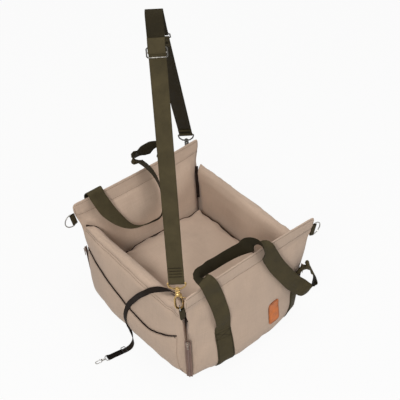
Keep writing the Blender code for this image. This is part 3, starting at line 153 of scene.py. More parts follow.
# D-rings: each one's middle on its bar, the bar's way and the ring's way
RINGS = {
    "front_left": ((-0.23679, -0.234, 0.3104), (-0.13307, -0.0383, 0.99037), (0.52521, 0.84469, 0.10324)),
    "front_right": ((0.24456, -0.23398, 0.30977), (0.18598, -0.03797, 0.98182), (0.98255, 0.00719, -0.18584)),
    "back_left": ((-0.24489, 0.23397, 0.30963), (-0.19757, 0.03788, 0.97956), (-0.98029, -0.00764, -0.19742)),
    "back_right": ((0.20881, 0.24662, 0.26785), (0.0, 0.01889, 0.99982), (-0.08716, 0.99602, -0.01882)),
}
RING_HALF = 0.041 / 2 + 0.0016
RING_DEPTH = 0.024
RING_WIRE = 0.0016
FRONT_EYE = (-0.23362, -0.21492, 0.41065)
REAR_EYE = (0.20262, 0.2693, 0.36598)
STRAP_TOP = (-0.126, -0.025, 1.042)
STRAP_SIDE = (744, -664, 73)


def route(*stations, way=()):
    # stations in millimetres; the way of the width, in thousandths, is each one's own or one for all
    return [tuple(value / 1000 for value in (*station, *way)) for station in stations]


# Straps: each station's place, and the way the strap's width lies
ROUTES = {
    "front_handle_loop": route(
        (-116.5, -258.79, 187, 989, -151, 0), (-116.5, -258.74, 199, 990, -144, 0),
        (-117.97, -262.56, 220.82, 1000, 0, 0), (-125.35, -256.1, 275.12, 1000, 0, 0),
        (-138.62, -248.12, 329.42, 995, 0, 100), (-151.16, -246.6, 363.81, 990, 99, 99),
        (-160.75, -238.24, 384.44, 958, 287, 0), (-165.18, -225.32, 388.06, 816, 408, -408),
        (-155.59, -212.4, 386.62, 398, 199, -896), (-134.2, -206.32, 384.44, 100, 0, -995),
        (-98.65, -205.03, 381.19, 0, 0, -1000), (-55.14, -205.03, 380.46, 0, 0, -1000),
        (-16.5, -213.16, 385.89, 0, 0, -1000), (15.81, -234.44, 401.1, -453, -101, -886),
        (33.36, -249.64, 387.34, -704, -101, -704), (53.57, -255.72, 343.9, -800, 0, -600),
        (76.43, -261.04, 295.39, -800, 0, -600), (104.01, -267.12, 249.06, -800, 0, -600),
        (132.48, -273.96, 203.44, -756, 0, -655), (160.06, -277, 170.14, -655, 0, -756),
        (178.5, -283.84, 150.23, -404, 101, -909), (197.68, -287.64, 146.61, 0, 406, -914),
        (211.69, -284.6, 161.09, 352, 553, -755), (210.95, -281.94, 184.62, 453, 605, -655),
        (202.84, -276.24, 209.96, 609, 609, -508), (191.77, -269.4, 224.44, 874, 411, -257),
        (182.19, -264.08, 215.39, 995, 100, 0), (178.5, -246.85, 199, 968, 250, 0),
        (178.5, -245.97, 187, 963, 268, 0)),
    "back_handle_loop": route(
        (-159.5, 250.45, 187, 977, 214, 0), (-159.5, 251.16, 199, 980, 198, 0),
        (-160.24, 262.56, 220.82, 1000, 0, 0), (-160.97, 255.34, 275.12, 1000, 0, 0),
        (-162.45, 247.74, 329.42, 1000, 0, 0), (-164.66, 246.22, 363.81, 1000, 0, 0),
        (-164.66, 234.44, 376.48, 1000, 0, 0), (-160.97, 219.24, 356.57, 995, 100, 0),
        (-147.7, 196.44, 314.94, 989, 104, -104), (-119.68, 166.04, 275.12, 850, 372, -372),
        (-82.8, 149.32, 249.78, 576, 523, -628), (-40.02, 142.48, 240.73, 464, 515, -721),
        (-1.67, 140.2, 246.16, 464, 515, -721), (18.98, 156.92, 278.74, 503, 503, -704),
        (29.3, 181.24, 314.94, 521, 521, -677), (20.45, 207.08, 362, 647, 539, -539),
        (1.28, 237.48, 390.96, 684, 570, -456), (-3.15, 258.76, 390.96, 204, 612, -764),
        (20.45, 270.92, 390.96, 199, 398, -896), (54.38, 272.44, 387.34, 404, 101, -909),
        (91.25, 270.92, 372.86, 800, 0, -600), (120.75, 264.08, 325.8, 981, 0, -196),
        (134.02, 259.52, 253.4, 1000, 0, 0), (135.5, 254.62, 199, 985, -172, 0),
        (135.5, 254.68, 187, 984, -180, 0)),
    "front_left_ring_tab": route(
        (-224.9, -235.17, 311.96), (-231.04, -236.23, 311.09), (-235.58, -236.64, 310.47),
        (-237.18, -236.87, 310.24), (-238.67, -236.19, 310.07), (-239.55, -234.81, 310),
        (-239.55, -233.17, 310.07), (-238.67, -231.8, 310.24), (-237.18, -231.13, 310.46),
        (-235.58, -231.38, 310.67), (-231.04, -231.84, 311.26), (-224.9, -232.97, 312.04),
        way=(-133, -38, 990)),
    "front_right_ring_tab": route(
        (232.77, -232.97, 312.04), (238.86, -231.82, 310.93), (243.35, -231.36, 310.1),
        (244.95, -231.11, 309.81), (246.42, -231.77, 309.5), (247.29, -233.14, 309.28),
        (247.29, -234.78, 309.22), (246.42, -236.16, 309.33), (244.95, -236.85, 309.59),
        (243.35, -236.62, 309.9), (238.86, -236.22, 310.76), (232.77, -235.17, 311.96),
        way=(186, -38, 982)),
    "back_left_ring_tab": route(
        (-233.12, 232.97, 312.04), (-239.2, 231.82, 310.86), (-243.69, 231.36, 309.97),
        (-245.28, 231.1, 309.66), (-246.74, 231.76, 309.34), (-247.61, 233.13, 309.11),
        (-247.61, 234.77, 309.05), (-246.74, 236.16, 309.17), (-245.28, 236.84, 309.44),
        (-243.69, 236.61, 309.77), (-239.2, 236.22, 310.69), (-233.12, 235.17, 311.96),
        way=(-198, 38, 980)),
    "back_right_ring_tab": route(
        (207.71, 238.63, 268), (206.61, 240.82, 267.96), (206.18, 245.4, 267.87), (205.94, 247.02, 267.84),
        (206.61, 248.52, 267.81), (207.99, 249.4, 267.8), (209.63, 249.4, 267.8), (211.01, 248.52, 267.81),
        (211.68, 247.02, 267.84), (211.44, 245.4, 267.87), (211.01, 240.82, 267.96), (209.91, 238.63, 268),
        way=(0, 19, 1000)),
    "shoulder_strap": route(
        (-225.66, -201.37, 452.83), (-230.59, -210.07, 423.91), (-231.36, -211.43, 419.37),
        (-231.54, -212.71, 409.63), (-232.52, -214, 407.79), (-234.13, -215.83, 407.62),
        (-235.45, -217.13, 409.23), (-235.69, -217.14, 411.67), (-232.78, -212.95, 420.07),
        (-232.01, -211.59, 424.61), (-227.08, -202.89, 453.53), (-140.89, -50.78, 959.18),
        (-130.51, -31.33, 1030.39), (-129.64, -29.39, 1039.18), (-126, -25, 1046.5),
        (-121.79, -20.42, 1040.67), (-118.6, -17.73, 1032.64), (-87.11, 9.63, 960.21),
        (-85.34, 11.21, 956.57), (-82.75, 13.21, 948.31), (-81.47, 14.51, 947.05), (-80.04, 16.16, 947.45),
        (-79.3, 17.19, 949.27), (-79.68, 17, 951.45), (-84.18, 12.65, 957.76), (-85.95, 11.06, 961.4),
        (-117.31, -16.14, 1033.96), (-120.62, -18.98, 1041.86), (-126, -25, 1048.7),
        (-131.07, -30.91, 1039.88), (-132.3, -33.24, 1031.27), (-137, -42.92, 991.07),
        (-141.85, -51.48, 962.62), (-142.32, -52.3, 959.88), (-143.2, -53.47, 958.21),
        (-144.66, -55.13, 958.07), (-145.85, -56.31, 959.52), (-146.07, -56.31, 961.73),
        (-144.3, -53.19, 972.13), (-138.43, -44.44, 991.77), way=STRAP_SIDE),
    "strap_short_end": route(
        (-55.34, 38.08, 894.85), (-68.35, 26.44, 921.6), (-70.12, 24.85, 925.25), (-74.61, 20.5, 931.56),
        (-75, 20.31, 933.74), (-74.26, 21.34, 935.56), (-72.83, 22.99, 935.96), (-71.54, 24.29, 934.7),
        (-68.95, 26.29, 926.44), (-67.18, 27.87, 922.8), (-54.18, 39.52, 896.04), (184.88, 253.61, 404.26),
        (197.34, 264.77, 378.64), (199.29, 266.52, 374.62), (204.31, 271.39, 367.71),
        (204.74, 271.6, 365.31), (203.92, 270.47, 363.3), (202.34, 268.65, 362.86),
        (200.92, 267.21, 364.25), (198.13, 265.08, 373.43), (196.17, 263.33, 377.45),
        (183.72, 252.18, 403.07), way=STRAP_SIDE),
    "tether_strap": route(
        (-169.03, -162, 226, 0, 1000, 0), (-169.75, -162, 232, 0, 1000, 0), (-169.5, -160, 248, 0, 1000, 0),
        (-178, -154, 270, -100, 995, 0), (-192, -142, 290, -287, 958, 0), (-212, -122, 294.5, -447, 894, 0),
        (-229, -103, 288, -371, 928, 0), (-240, -86, 270, -89, 891, 445), (-243.5, -63, 242, 0, 781, 625),
        (-244, -40, 208, 0, 894, 447), (-244, -14, 164, 0, 981, 196), (-244, -5, 120, 100, 995, 0),
        (-244, -4, 88, 365, 913, -183), (-245, -12, 59, 696, 696, -174), (-246, -24, 38, 555, 832, 0),
        (-250, -28, 18, 287, 958, 0), (-258, -27.5, 7, 100, 995, 0), (-268, -26, 2.8, 0, 1000, 0),
        (-283.27, -23.36, 1.8, 170, 985, 0), (-313.82, -18.09, 1.8, 170, 985, 0),
        (-329.1, -15.46, 1.8, 170, 985, 0), (-330.66, -15.19, 2.46, 170, 985, 0),
        (-331.31, -15.07, 4.04, 170, 985, 0), (-330.66, -15.19, 5.63, 170, 985, 0),
        (-329.1, -15.46, 6.29, 170, 985, 0), (-322.46, -16.6, 4, 170, 985, 0),
        (-319.15, -17.17, 4, 170, 985, 0), (-286.33, -22.84, 4, 170, 985, 0)),
}

def setup(item, **values):
    for name, value in values.items():
        setattr(item, name, value)
    return item


def steps(count):
    return [k / count for k in range(count + 1)]


def ease(share):
    share = min(max(share, 0.0), 1.0)
    return share * share * (3 - 2 * share)


def mix(low, high, share):
    return low + (high - low) * share


def tone(colour, factor):
    return tuple(min(channel * factor, 1.0) for channel in colour)


# Materials: every one built from nodes, in object or strap coordinates

class Nodes:
    """A short way to write the nodes of a material or a world."""

    def __init__(self, owner, shader="Principled BSDF"):
        self.owner = setup(owner, use_nodes=True)
        self.tree = owner.node_tree
        self.shader = self.tree.nodes[shader]

    def add(self, kind, inputs, **settings):
        # a socket among the inputs is linked, anything else is set
        node = setup(self.tree.nodes.new("ShaderNode" + kind), **settings)
        for key, value in inputs.items():
            if isinstance(value, bpy.types.NodeSocket):
                self.tree.links.new(value, node.inputs[key])
            else:
                node.inputs[key].default_value = value
        return node

    def math(self, operation, *values):
        return self.add("Math", dict(enumerate(values)), operation=operation).outputs[0]

    def blend(self, *parts):
        # the sum of (value, weight) pairs
        total = None
        for value, weight in parts:
            share = self.math("MULTIPLY", value, abs(weight))
            total = share if total is None else self.math("ADD" if weight > 0 else "SUBTRACT", total, share)
        return total

    def wave(self, value, pitch):
        return self.math("SINE", self.math("MULTIPLY", value, 2 * math.pi / pitch))

    def place(self):
        return self.add("TexCoord", {}).outputs["Object"]

    def parts(self, vector):
        return self.add("SeparateXYZ", {0: vector}).outputs

    def run(self):
        # places along and across webbing or a sheet, in metres
        return self.parts(self.add("TexCoord", {}).outputs["UV"])

    def noise(self, vector, scale, detail=3.0, rough=0.5):
        inputs = {0: vector, "Scale": scale, "Detail": detail, "Roughness": rough}
        return self.add("TexNoise", inputs).outputs["Fac"]

    def stretch(self, vector, scale):
        return self.add("Mapping", {0: vector, "Scale": scale}).outputs[0]

    def ramp(self, value, colour, *stops):
        # the colour times the factor of each stop
        node = self.add("ValToRGB", {0: value})
        elements = node.color_ramp.elements
        while len(elements) < len(stops):
            elements.new(0.5)
        for element, (place, factor) in zip(elements, stops):
            element.position = place
            element.color = (*tone(colour, factor), 1.0)
        return node.outputs[0]

    def link(self, source, name):
        self.tree.links.new(source, self.shader.inputs[name])

    def paint(self, value, colour, *stops):
        self.link(self.ramp(value, colour, *stops), "Base Color")

    def roughness(self, value, low, high):
        self.link(self.ramp(value, (1, 1, 1), (0.2, low), (0.8, high)), "Roughness")

    def bump(self, height, strength, distance, **below):
        inputs = {"Strength": strength, "Distance": distance, "Height": height, **below}
        return self.add("Bump", inputs).outputs[0]

    def seen(self):
        # 1 where the camera or a reflection sees it
        rays = self.add("LightPath", {}).outputs
        return self.math("MAXIMUM", rays["Is Camera Ray"], rays["Is Glossy Ray"])

    def set(self, **values):
        for key, value in values.items():
            self.shader.inputs[key.replace("_", " ")].default_value = value


def material(name):
    return Nodes(bpy.data.materials.new(name))


def cloth_material(name, colour, axes, pitch=0.0011):
    # a plain linen weave: two sets of threads, slubs along both, and a soft mottle
    n = material(name)
    place = n.place()
    parts = n.parts(place)
    weave = n.math("MULTIPLY", *(n.wave(parts[axis], pitch) for axis in axes))
    wide, tall = [9.0] * 3, [9.0] * 3
    wide[axes[1]] = tall[axes[0]] = 420.0
    slub = n.math("ADD", *(n.noise(n.stretch(place, scale), 3.0, 2.0) for scale in (wide, tall)))
    mottle = n.noise(place, 9.0, 4.0, 0.6)
    grain = n.noise(place, 520.0, 2.0)
    blend = n.blend((slub, 0.30), (mottle, 0.26), (grain, 0.14))
    n.paint(blend, colour, (0.22, 0.80), (0.42, 1.0), (0.60, 1.16))
    fine = n.bump(n.blend((weave, 0.35), (slub, 0.55)), 0.40, 0.0004)
    n.link(n.bump(mottle, 0.10, 0.0030, Normal=fine), "Normal")
    n.roughness(grain, 0.82, 0.97)
    n.set(Sheen_Weight=0.15, Sheen_Roughness=0.5, Specular_IOR_Level=0.18)
    return n.owner


def webbing_material(name, colour, width, pitch=0.0017):
    # ribs along the webbing, picks across it, firm darker edges, and painted shade on the side marked as
    # shaded
    n = material(name)
    along, crosswise, _ = n.run()
    shaded_side = n.math("GREATER_THAN", crosswise, 0.5)
    across = n.math("SUBTRACT", crosswise, shaded_side)
    sway = n.math("MULTIPLY", n.wave(across, pitch * 6), 0.0009)
    picks = n.wave(n.math("ADD", along, sway), pitch)
    weave = n.blend((picks, 0.5), (n.wave(across, pitch * 1.2), 0.5))
    place = n.place()
    mottle = n.noise(place, 26.0, 4.0, 0.6)
    grain = n.noise(place, 900.0, 2.0)
    edge = n.math("SMOOTH_MIN", n.math("DIVIDE", n.math("ABSOLUTE", across), width / 2), 1.0)
    edge = n.math("POWER", edge, 12.0)
    value = n.blend((weave, 0.10), (mottle, 0.55), (grain, 0.25), (edge, -0.16))
    face = n.ramp(value, colour, (0.18, 0.62), (0.42, 1.0), (0.68, 1.45))
    # painted shade: the side marked as shaded is darkened, standing for shade that falls on it
    painted_shade = n.math("SUBTRACT", 1.0, n.math("MULTIPLY", shaded_side, 0.62))
    n.link(n.add("VectorMath", {0: face, 3: painted_shade}, operation="SCALE").outputs[0], "Base Color")
    n.link(n.bump(n.math("ADD", weave, n.math("MULTIPLY", grain, 0.6)), 0.55, 0.0004), "Normal")
    n.roughness(mottle, 0.55, 0.80)
    n.set(Sheen_Weight=0.0, Specular_IOR_Level=0.08)
    return n.owner


def thread_material(name, colour):
    n = material(name)
    fuzz = n.noise(n.place(), 1500.0, 2.0)
    n.paint(fuzz, colour, (0.3, 0.8), (0.7, 1.2))
    n.link(n.bump(fuzz, 0.4, 0.0002), "Normal")
    n.set(Roughness=0.8, Specular_IOR_Level=0.06)
    return n.owner


def leather_material(name, colour):
    # pores between fine cells, darker towards the rim
    n = material(name)
    place = n.place()
    cells = n.add("TexVoronoi", {0: place, "Scale": 900.0}, feature="DISTANCE_TO_EDGE").outputs["Distance"]
    pores = n.noise(place, 1400.0, 3.0)
    mottle = n.noise(place, 60.0, 4.0, 0.6)
    rim = [n.math("DIVIDE", n.math("ABSOLUTE", part), size / 2) for part, size in zip(n.run(), LABEL[2:])]
    rim = n.math("POWER", n.math("MINIMUM", n.math("MAXIMUM", *rim), 1.0), 14.0)
    n.paint(n.blend((mottle, 0.8), (rim, -0.35)), colour, (0.02, 0.42), (0.36, 1.0), (0.62, 1.25))
    n.link(n.bump(n.blend((cells, 1.2), (pores, 0.4)), 0.35, 0.0004), "Normal")
    n.roughness(mottle, 0.38, 0.58)
    n.set(Specular_IOR_Level=0.25, Coat_Weight=0.04)
    return n.owner


def metal_material(name, colour, rough):
    # plated metal with fine rubbing marks and a dulled film
    n = material(name)
    place = n.place()
    marks = n.noise(n.stretch(place, (60.0, 900.0, 240.0)), 4.0, 3.0)
    film = n.noise(place, 130.0, 4.0, 0.6)
    n.paint(film, colour, (0.25, 0.55), (0.55, 1.0), (0.85, 1.15))
    n.roughness(film, rough + 0.16, rough - 0.10)
    n.link(n.bump(marks, 0.08, 0.0003), "Normal")
    n.set(Metallic=1.0)
    return n.owner


def plain_material(name, colour, rough, scale, depth):
    n = material(name)
    grain = n.noise(n.place(), scale, 4.0, 0.6)
    n.paint(grain, colour, (0.3, 0.78), (0.7, 1.15))
    n.link(n.bump(grain, 0.5, depth), "Normal")
    n.roughness(grain, rough - 0.08, rough + 0.08)
    return n.owner


CLOTH = (0.470, 0.352, 0.270)
OLIVE = (0.064, 0.051, 0.026)
MATERIALS = {
    "cloth_xz": cloth_material("cloth_end", CLOTH, (0, 2)),
    "cloth_yz": cloth_material("cloth_side", CLOTH, (1, 2)),
    "cloth_xy": cloth_material("cloth_top", CLOTH, (0, 1)),
    "underside": cloth_material("underside", (0.26, 0.22, 0.185), (0, 1), 0.0016),
    "webbing": webbing_material("webbing_wide", OLIVE, HANDLE_WIDTH),
    "strap": webbing_material("webbing_strap", OLIVE, STRAP_WIDTH),
    "tab": webbing_material("webbing_tab", tone(OLIVE, 0.7), TAB_WIDTH),
    "tether": webbing_material("webbing_thin", (0.016, 0.011, 0.008), TETHER_WIDTH, 0.0012),
    # painted shade: this dark material stands for the shadow in the inner corners' gaps, and partly for the
    # shadow of the pockets' mouths
    "binding_and_gap_shade": webbing_material("binding_and_gap_shade", (0.026, 0.015, 0.011), 0.006, 0.0010),
    "tape": webbing_material("zip_tape", (0.25, 0.165, 0.135), 0.018, 0.0009),
    # painted shade: both sewing threads are darker than the real thread, standing also for the shade in their
    # sewn grooves
    "thread_and_seam_shade": thread_material("thread_cloth_and_seam_shade", (0.10, 0.065, 0.045)),
    "dark_thread_and_groove_shade": thread_material("thread_olive_and_groove_shade", (0.012, 0.009, 0.006)),
    # painted shade: a dark cord standing for the shadow in the cushion's crease
    "crease_shade": thread_material("crease_shade_cord", (0.040, 0.025, 0.018)),
    "label_thread": thread_material("thread_label", (0.22, 0.085, 0.03)),
    "leather": leather_material("leather", (0.53, 0.150, 0.036)),
    "coil": plain_material("zip_coil", (0.24, 0.155, 0.13), 0.5, 600.0, 0.0002),
    "zinc": metal_material("zip_metal", (0.30, 0.24, 0.20), 0.38),
    "steel": metal_material("ring_metal", (0.34, 0.33, 0.31), 0.26),
    "gunmetal": metal_material("dark_metal", (0.11, 0.105, 0.095), 0.36),
    "brass": metal_material("brass_metal", (0.50, 0.33, 0.13), 0.26),
    "black": plain_material("moulded_black", (0.022, 0.022, 0.022), 0.5, 700.0, 0.0002),
    "board": plain_material("board_grain", (0.42, 0.36, 0.28), 0.8, 120.0, 0.0006),
    "foam": plain_material("foam_cells", (0.72, 0.70, 0.64), 0.95, 700.0, 0.0010),
}


# Meshes

def placed(name, data):
    item = bpy.data.objects.new(name, data)
    scene.collection.objects.link(item)
    return item


def link_piece(name, mesh, finish):
    piece = placed(name, mesh)
    mesh.materials.clear()
    mesh.materials.append(MATERIALS[finish])
    mesh.polygons.foreach_set("use_smooth", [True] * len(mesh.polygons))
    return piece


def dress(piece, node=None, body="seat"):
    # a piece rides on its body, and may take a CAD node's place
    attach(piece, body)
    if node:
        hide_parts(node)


def mesh_from(name, points, faces):
    mesh = bpy.data.meshes.new(name)
    mesh.from_pydata([tuple(point) for point in points], [], faces)
    mesh.update()
    return mesh


def evaluated(piece):
    bpy.context.view_layer.update()
    return bpy.data.meshes.new_from_object(piece.evaluated_get(bpy.context.evaluated_depsgraph_get()))


def bake(piece):
    # an object's modifiers, taken into its mesh
    mesh = evaluated(piece)
    piece.modifiers.clear()
    piece.data = mesh
    return piece


def subdivide(piece):
    setup(piece.modifiers.new("Subdivision", "SUBSURF"), levels=1, render_levels=1)
    return bake(piece)


def copy_of(node, name, finish, quads=True):
    mesh = bpy.data.meshes.new(name)
    bm = bmesh.new()
    bm.from_mesh(NODES[node].data)
    bmesh.ops.remove_doubles(bm, verts=bm.verts, dist=WELD)
    if quads:
        bmesh.ops.join_triangles(bm, faces=bm.faces, angle_face_threshold=0.7, angle_shape_threshold=3.1)
    else:
        bmesh.ops.dissolve_limit(bm, angle_limit=math.radians(2), verts=bm.verts, edges=bm.edges)
    bm.to_mesh(mesh)
    bm.free()
    return link_piece(name, mesh, finish)


def read(mesh, kind="co"):
    flat = np.empty(len(mesh.vertices) * 3, np.float32)
    mesh.vertices.foreach_get(kind, flat)
    return flat.reshape(-1, 3).astype(float)


def coords_and_normals(piece):
    return read(piece.data), read(piece.data, "normal")


def set_coords(piece, coords):
    piece.data.vertices.foreach_set("co", coords.astype(np.float32).ravel())
    piece.data.update()


def skin_of(piece):
    return BVHTree.FromObject(piece, bpy.context.evaluated_depsgraph_get())


def cast(skin, origin, direction, lift=0.0):
    hit, normal, _, _ = skin.ray_cast(Vector(origin), Vector(direction))
    if hit is None:
        return None, None
    return hit - Vector(direction).normalized() * lift, normal


def lay(skin, origin, direction, lift):
    # a sheet's point on the cloth; past the cloth's edge it stays level with the nearest of it
    hit, _ = cast(skin, origin, direction, lift)
    if hit is None:
        axis = max(range(3), key=lambda k: abs(direction[k]))
        hit = Vector(origin)
        hit[axis] = skin.find_nearest(hit)[0][axis] - direction[axis] * lift
    return hit


def rounded(angle, half_x, half_y, power):
    # a place on a rectangle with rounded corners
    c, s = math.cos(angle), math.sin(angle)
    return half_x * math.copysign(abs(c) ** power, c), half_y * math.copysign(abs(s) ** power, s)


def slopes_of(points):
    slopes = []
    for index, here in enumerate(points):
        before = points[max(index - 1, 0)]
        after = points[min(index + 1, len(points) - 1)]
        reach = (here - before).length
        ahead = (after - here).length
        slope = (here - before).normalized() * ahead + (after - here).normalized() * reach
        if reach == 0 or ahead == 0:
            slope = after - before
        slopes.append(slope.normalized())
    return slopes


def smooth_path(stations, pitch):
    # the same rounded path as the solid's, in finer steps
    points = [Vector(s[:3]) for s in stations]
    sides = [Vector(s[3:]).normalized() for s in stations]
    slopes = slopes_of(points)
    path, ways = [], []
    for index in range(len(points) - 1):
        start, end = points[index], points[index + 1]
        reach = (end - start).length
        for t in steps(max(2, min(10, round(reach / pitch))))[:-1]:
            leave = slopes[index] * reach * t * (1 - t) ** 2
            arrive = slopes[index + 1] * reach * t * t * (1 - t)
            path.append(start.lerp(end, ease(t)) + leave - arrive)
            ways.append(sides[index].lerp(sides[index + 1], t))
    path.append(points[-1].copy())
    ways.append(sides[-1].copy())
    return path, ways


def loft(points, faces, rings):
    # rings joined into one tube with flat ends, added to the points and faces
    start, count = len(points), len(rings[0])
    for ring in rings:
        points += ring
    for low in range(start, len(points) - count, count):
        for j in range(count):
            after = (j + 1) % count
            faces.append((low + j, low + after, low + count + after, low + count + j))
    faces.append(tuple(range(start + count - 1, start - 1, -1)))
    faces.append(tuple(range(len(points) - count, len(points))))


# Webbing's section: shares of its half width and of its half thickness
UPPER = ((-0.985, 0.72), (-0.94, 1.0), (-0.5, 1.0), (0, 1.0), (0.5, 1.0), (0.94, 1.0), (0.985, 0.72))
SECTION = ((-1, 0.0), *UPPER, (1, 0.0), *((-share, -height) for share, height in UPPER))


def strap(name, stations, width, finish, pitch=0.006, thickness=WEB_THICKNESS, heart=None, shade_switch=0.0, turns=()):
    # webbing with rounded edges, lengthwise and crosswise coordinates in metres;
    # the side that faces the heart takes painted shade, marked by 1 on its crosswise coordinate;
    # from the shade switch's share of the length on, the other side takes the painted shade, and
    # turns give each share at which the webbing turns over, and the share that this takes
    path, ways = smooth_path(stations, pitch)
    heart = heart or sum(path, Vector()) / len(path)
    total = sum((b - a).length for a, b in zip(path, path[1:]))
    rings, uvs, shares = [], [], []
    run = facing_out = 0.0
    for index, (centre, way) in enumerate(zip(path, ways)):
        before = path[max(index - 1, 0)]
        after = path[min(index + 1, len(path) - 1)]
        along = (after - before).normalized()
        across = (way - along * way.dot(along)).normalized()
        up = across.cross(along)
        facing_out += up.dot(centre - heart)
        run += (centre - before).length
        shares.append(run / total)
        for place, spread in turns:
            over = Matrix.Rotation(math.pi * ease((run / total - place) / spread + 0.5), 3, along)
            across, up = over @ across, over @ up
        rings.append([centre + across * share * width / 2 + up * (height * thickness / 2)
                      for share, height in SECTION])
        uvs += [(run, share * width / 2) for share, _ in SECTION]
    points, faces = [], []
    loft(points, faces, rings)
    mesh = mesh_from(name, points, faces)
    layer = mesh.uv_layers.new(name="run")
    count = len(SECTION)
    for face in mesh.polygons:
        below = face.index % count >= count // 2
        beyond = shares[min(face.index // count, len(shares) - 1)] > shade_switch > 0
        # painted shade: the faces marked here are darkened by the webbing's colour
        back = (below == (facing_out > 0)) != beyond and len(face.vertices) == 4
        for index in face.loop_indices:
            along, across = uvs[mesh.loops[index].vertex_index]
            layer.data[index].uv = (along, across + back)
    return link_piece(name, mesh, finish), path


def sheet(name, skin, rows, columns, spot, inward, thickness, finish):
    # a sheet laid on the cloth: spot takes a share along and one across, from -1 to 1, and gives
    # the place to cast inward from, the place on the flat sheet, and the lift off the cloth
    grid, flat, faces = [], [], []
    for i in range(rows + 1):
        spots = [spot(i / rows, 2 * j / columns - 1) for j in range(columns + 1)]
        grid.append([lay(skin, place, inward, lift) for place, _, lift in spots])
        flat += [mark for _, mark, _ in spots]
    for i in range(rows):
        for j in range(columns):
            start = i * (columns + 1) + j
            faces.append((start, start + 1, start + columns + 2, start + columns + 1))
    mesh = mesh_from(name, [point for row in grid for point in row], faces)
    if sum(face.normal.dot(Vector(inward)) for face in mesh.polygons) > 0:
        mesh.flip_normals()
    layer = mesh.uv_layers.new(name="run")
    for loop in mesh.loops:
        layer.data[loop.index].uv = flat[loop.vertex_index]
    piece = link_piece(name, mesh, finish)
    setup(piece.modifiers.new("Solidify", "SOLIDIFY"), thickness=thickness, offset=1.0)
    return bake(piece), grid


def hoop(name, points, radius, finish):
    # a closed round wire
    data = setup(bpy.data.curves.new(name, "CURVE"), dimensions="3D", bevel_depth=radius, bevel_resolution=3)
    spline = data.splines.new("POLY")
    spline.points.add(len(points) - 1)
    for index, point in enumerate(points):
        spline.points[index].co = (*point, 1)
    spline.use_cyclic_u = True
    curve = placed(name + "_line", data)
    mesh = evaluated(curve)
    bpy.data.objects.remove(curve, do_unlink=True)
    mesh.name = name
    return link_piece(name, mesh, finish)


def stitches(name, lines, finish, slot, pitch=STITCH_PITCH, length=STITCH_LENGTH, radius=STITCH_RADIUS):
    # threads sewn along lines of (point, outward normal) pairs
    points, faces = [], []
    for line in lines:
        line = [pair for pair in line if pair[0] is not None]
        if len(line) < 2:
            continue
        reach = [0.0]
        for (a, _), (b, _) in zip(line, line[1:]):
            reach.append(reach[-1] + (b - a).length)
        place, step = pitch / 2, 0
        while place + length / 2 < reach[-1]:
            while step < len(line) - 2 and reach[step + 1] < place:
                step += 1
            share = (place - reach[step]) / max(reach[step + 1] - reach[step], WELD)
            (here, out), (ahead, out_ahead) = line[step:step + 2]
            centre = here.lerp(ahead, share)
            normal = out.lerp(out_ahead, share).normalized()
            along = (ahead - here).normalized()
            aside = along.cross(normal).normalized()
            rings = []
            for shift, size, lift in STITCH_RINGS:
                middle = centre + along * shift * length + normal * lift * radius
                angles = [2 * math.pi * turn / 5 for turn in range(5)]
                rings.append([middle + (aside * math.cos(angle) + normal * math.sin(angle)) * radius * size
                              for angle in angles])
            loft(points, faces, rings)
            place += pitch
    dress(link_piece(name, mesh_from(name, points, faces), finish))


def groove(piece, lines, depth, reach, pucker):
    # a sewn line draws the cloth in, and puckers it on both sides
    points = [pair[0] for line in lines for pair in line if pair[0] is not None]
    dense, runs, run = [], [], 0.0
    for a, b in zip(points, points[1:]):
        reached = (b - a).length
        count = max(1, int(reached / 0.002)) if reached < 0.03 else 1
        dense += [a.lerp(b, k / count) for k in range(count)]
        runs += [run + reached * k / count for k in range(count)]
        run += reached
    tree = KDTree(len(dense))
    for index, point in enumerate(dense):
        tree.insert(point, index)
    tree.balance()
    coords, normals = coords_and_normals(piece)
    for index, point in enumerate(coords):
        _, near, distance = tree.find(Vector(point))
        if distance < PUCKER_SPREAD * 3:
            run = runs[near]
            wave = math.sin(run * 390 + 2.1 * math.sin(run * 71))
            wave += 0.6 * math.sin(run * 610 + 1.3 * math.sin(run * 43))
            ripple = pucker * wave * math.exp(-distance / PUCKER_SPREAD) * ease(distance / reach)
            coords[index] += normals[index] * (ripple - depth * math.exp(-(distance / reach) ** 2))
    set_coords(piece, coords)


# Wall surfaces, as the solids have them

def side_outer(z):
    return BASE_WIDTH / 2 + SIDE_FLARE * z / SIDE_HEIGHT


def end_outer(z):
    return BASE_DEPTH / 2 + END_FLARE * z / END_HEIGHT


def ear_reach(z, facing, hand):
    share = (z - ZIP_TOP) / (END_HEIGHT - ZIP_TOP)
    return mix(side_outer(z), EAR_REACH[facing, hand], ease(share))


def crest(facing, share):
    return END_HEIGHT + HEM_ARCH[facing] * (1 - abs(2 * share - 1) ** 2.5)


# Padded pieces: finer copies of the solids, stuffed by a short cloth simulation

def ready_to_puff(piece, pins, inset, shrink):
    # starts a little inside the solid, held where it is sewn
    coords, normals = coords_and_normals(piece)
    free = 1 - np.clip(pins, 0, 1)
    start = coords - normals * (inset * free)[:, None]
    set_coords(piece, start)
    group = piece.vertex_groups.new(name="sewn")
    for index, weight in enumerate(pins):
        if weight > 0.01:
            group.add([index], float(min(weight, 1.0)), "REPLACE")
    cloth = piece.modifiers.new("Cloth", "CLOTH")
    setup(cloth.settings, quality=5, mass=0.3, tension_stiffness=20, compression_stiffness=20,
          shear_stiffness=8, bending_stiffness=0.15, use_pressure=True, uniform_pressure_force=PRESSURE,
          shrink_min=-shrink, vertex_group_mass="sewn")
    cloth.settings.effector_weights.gravity = 0
    setup(cloth.collision_settings, use_collision=False, use_self_collision=False)
    setup(cloth.point_cache, frame_start=1, frame_end=FRAMES)
    return start


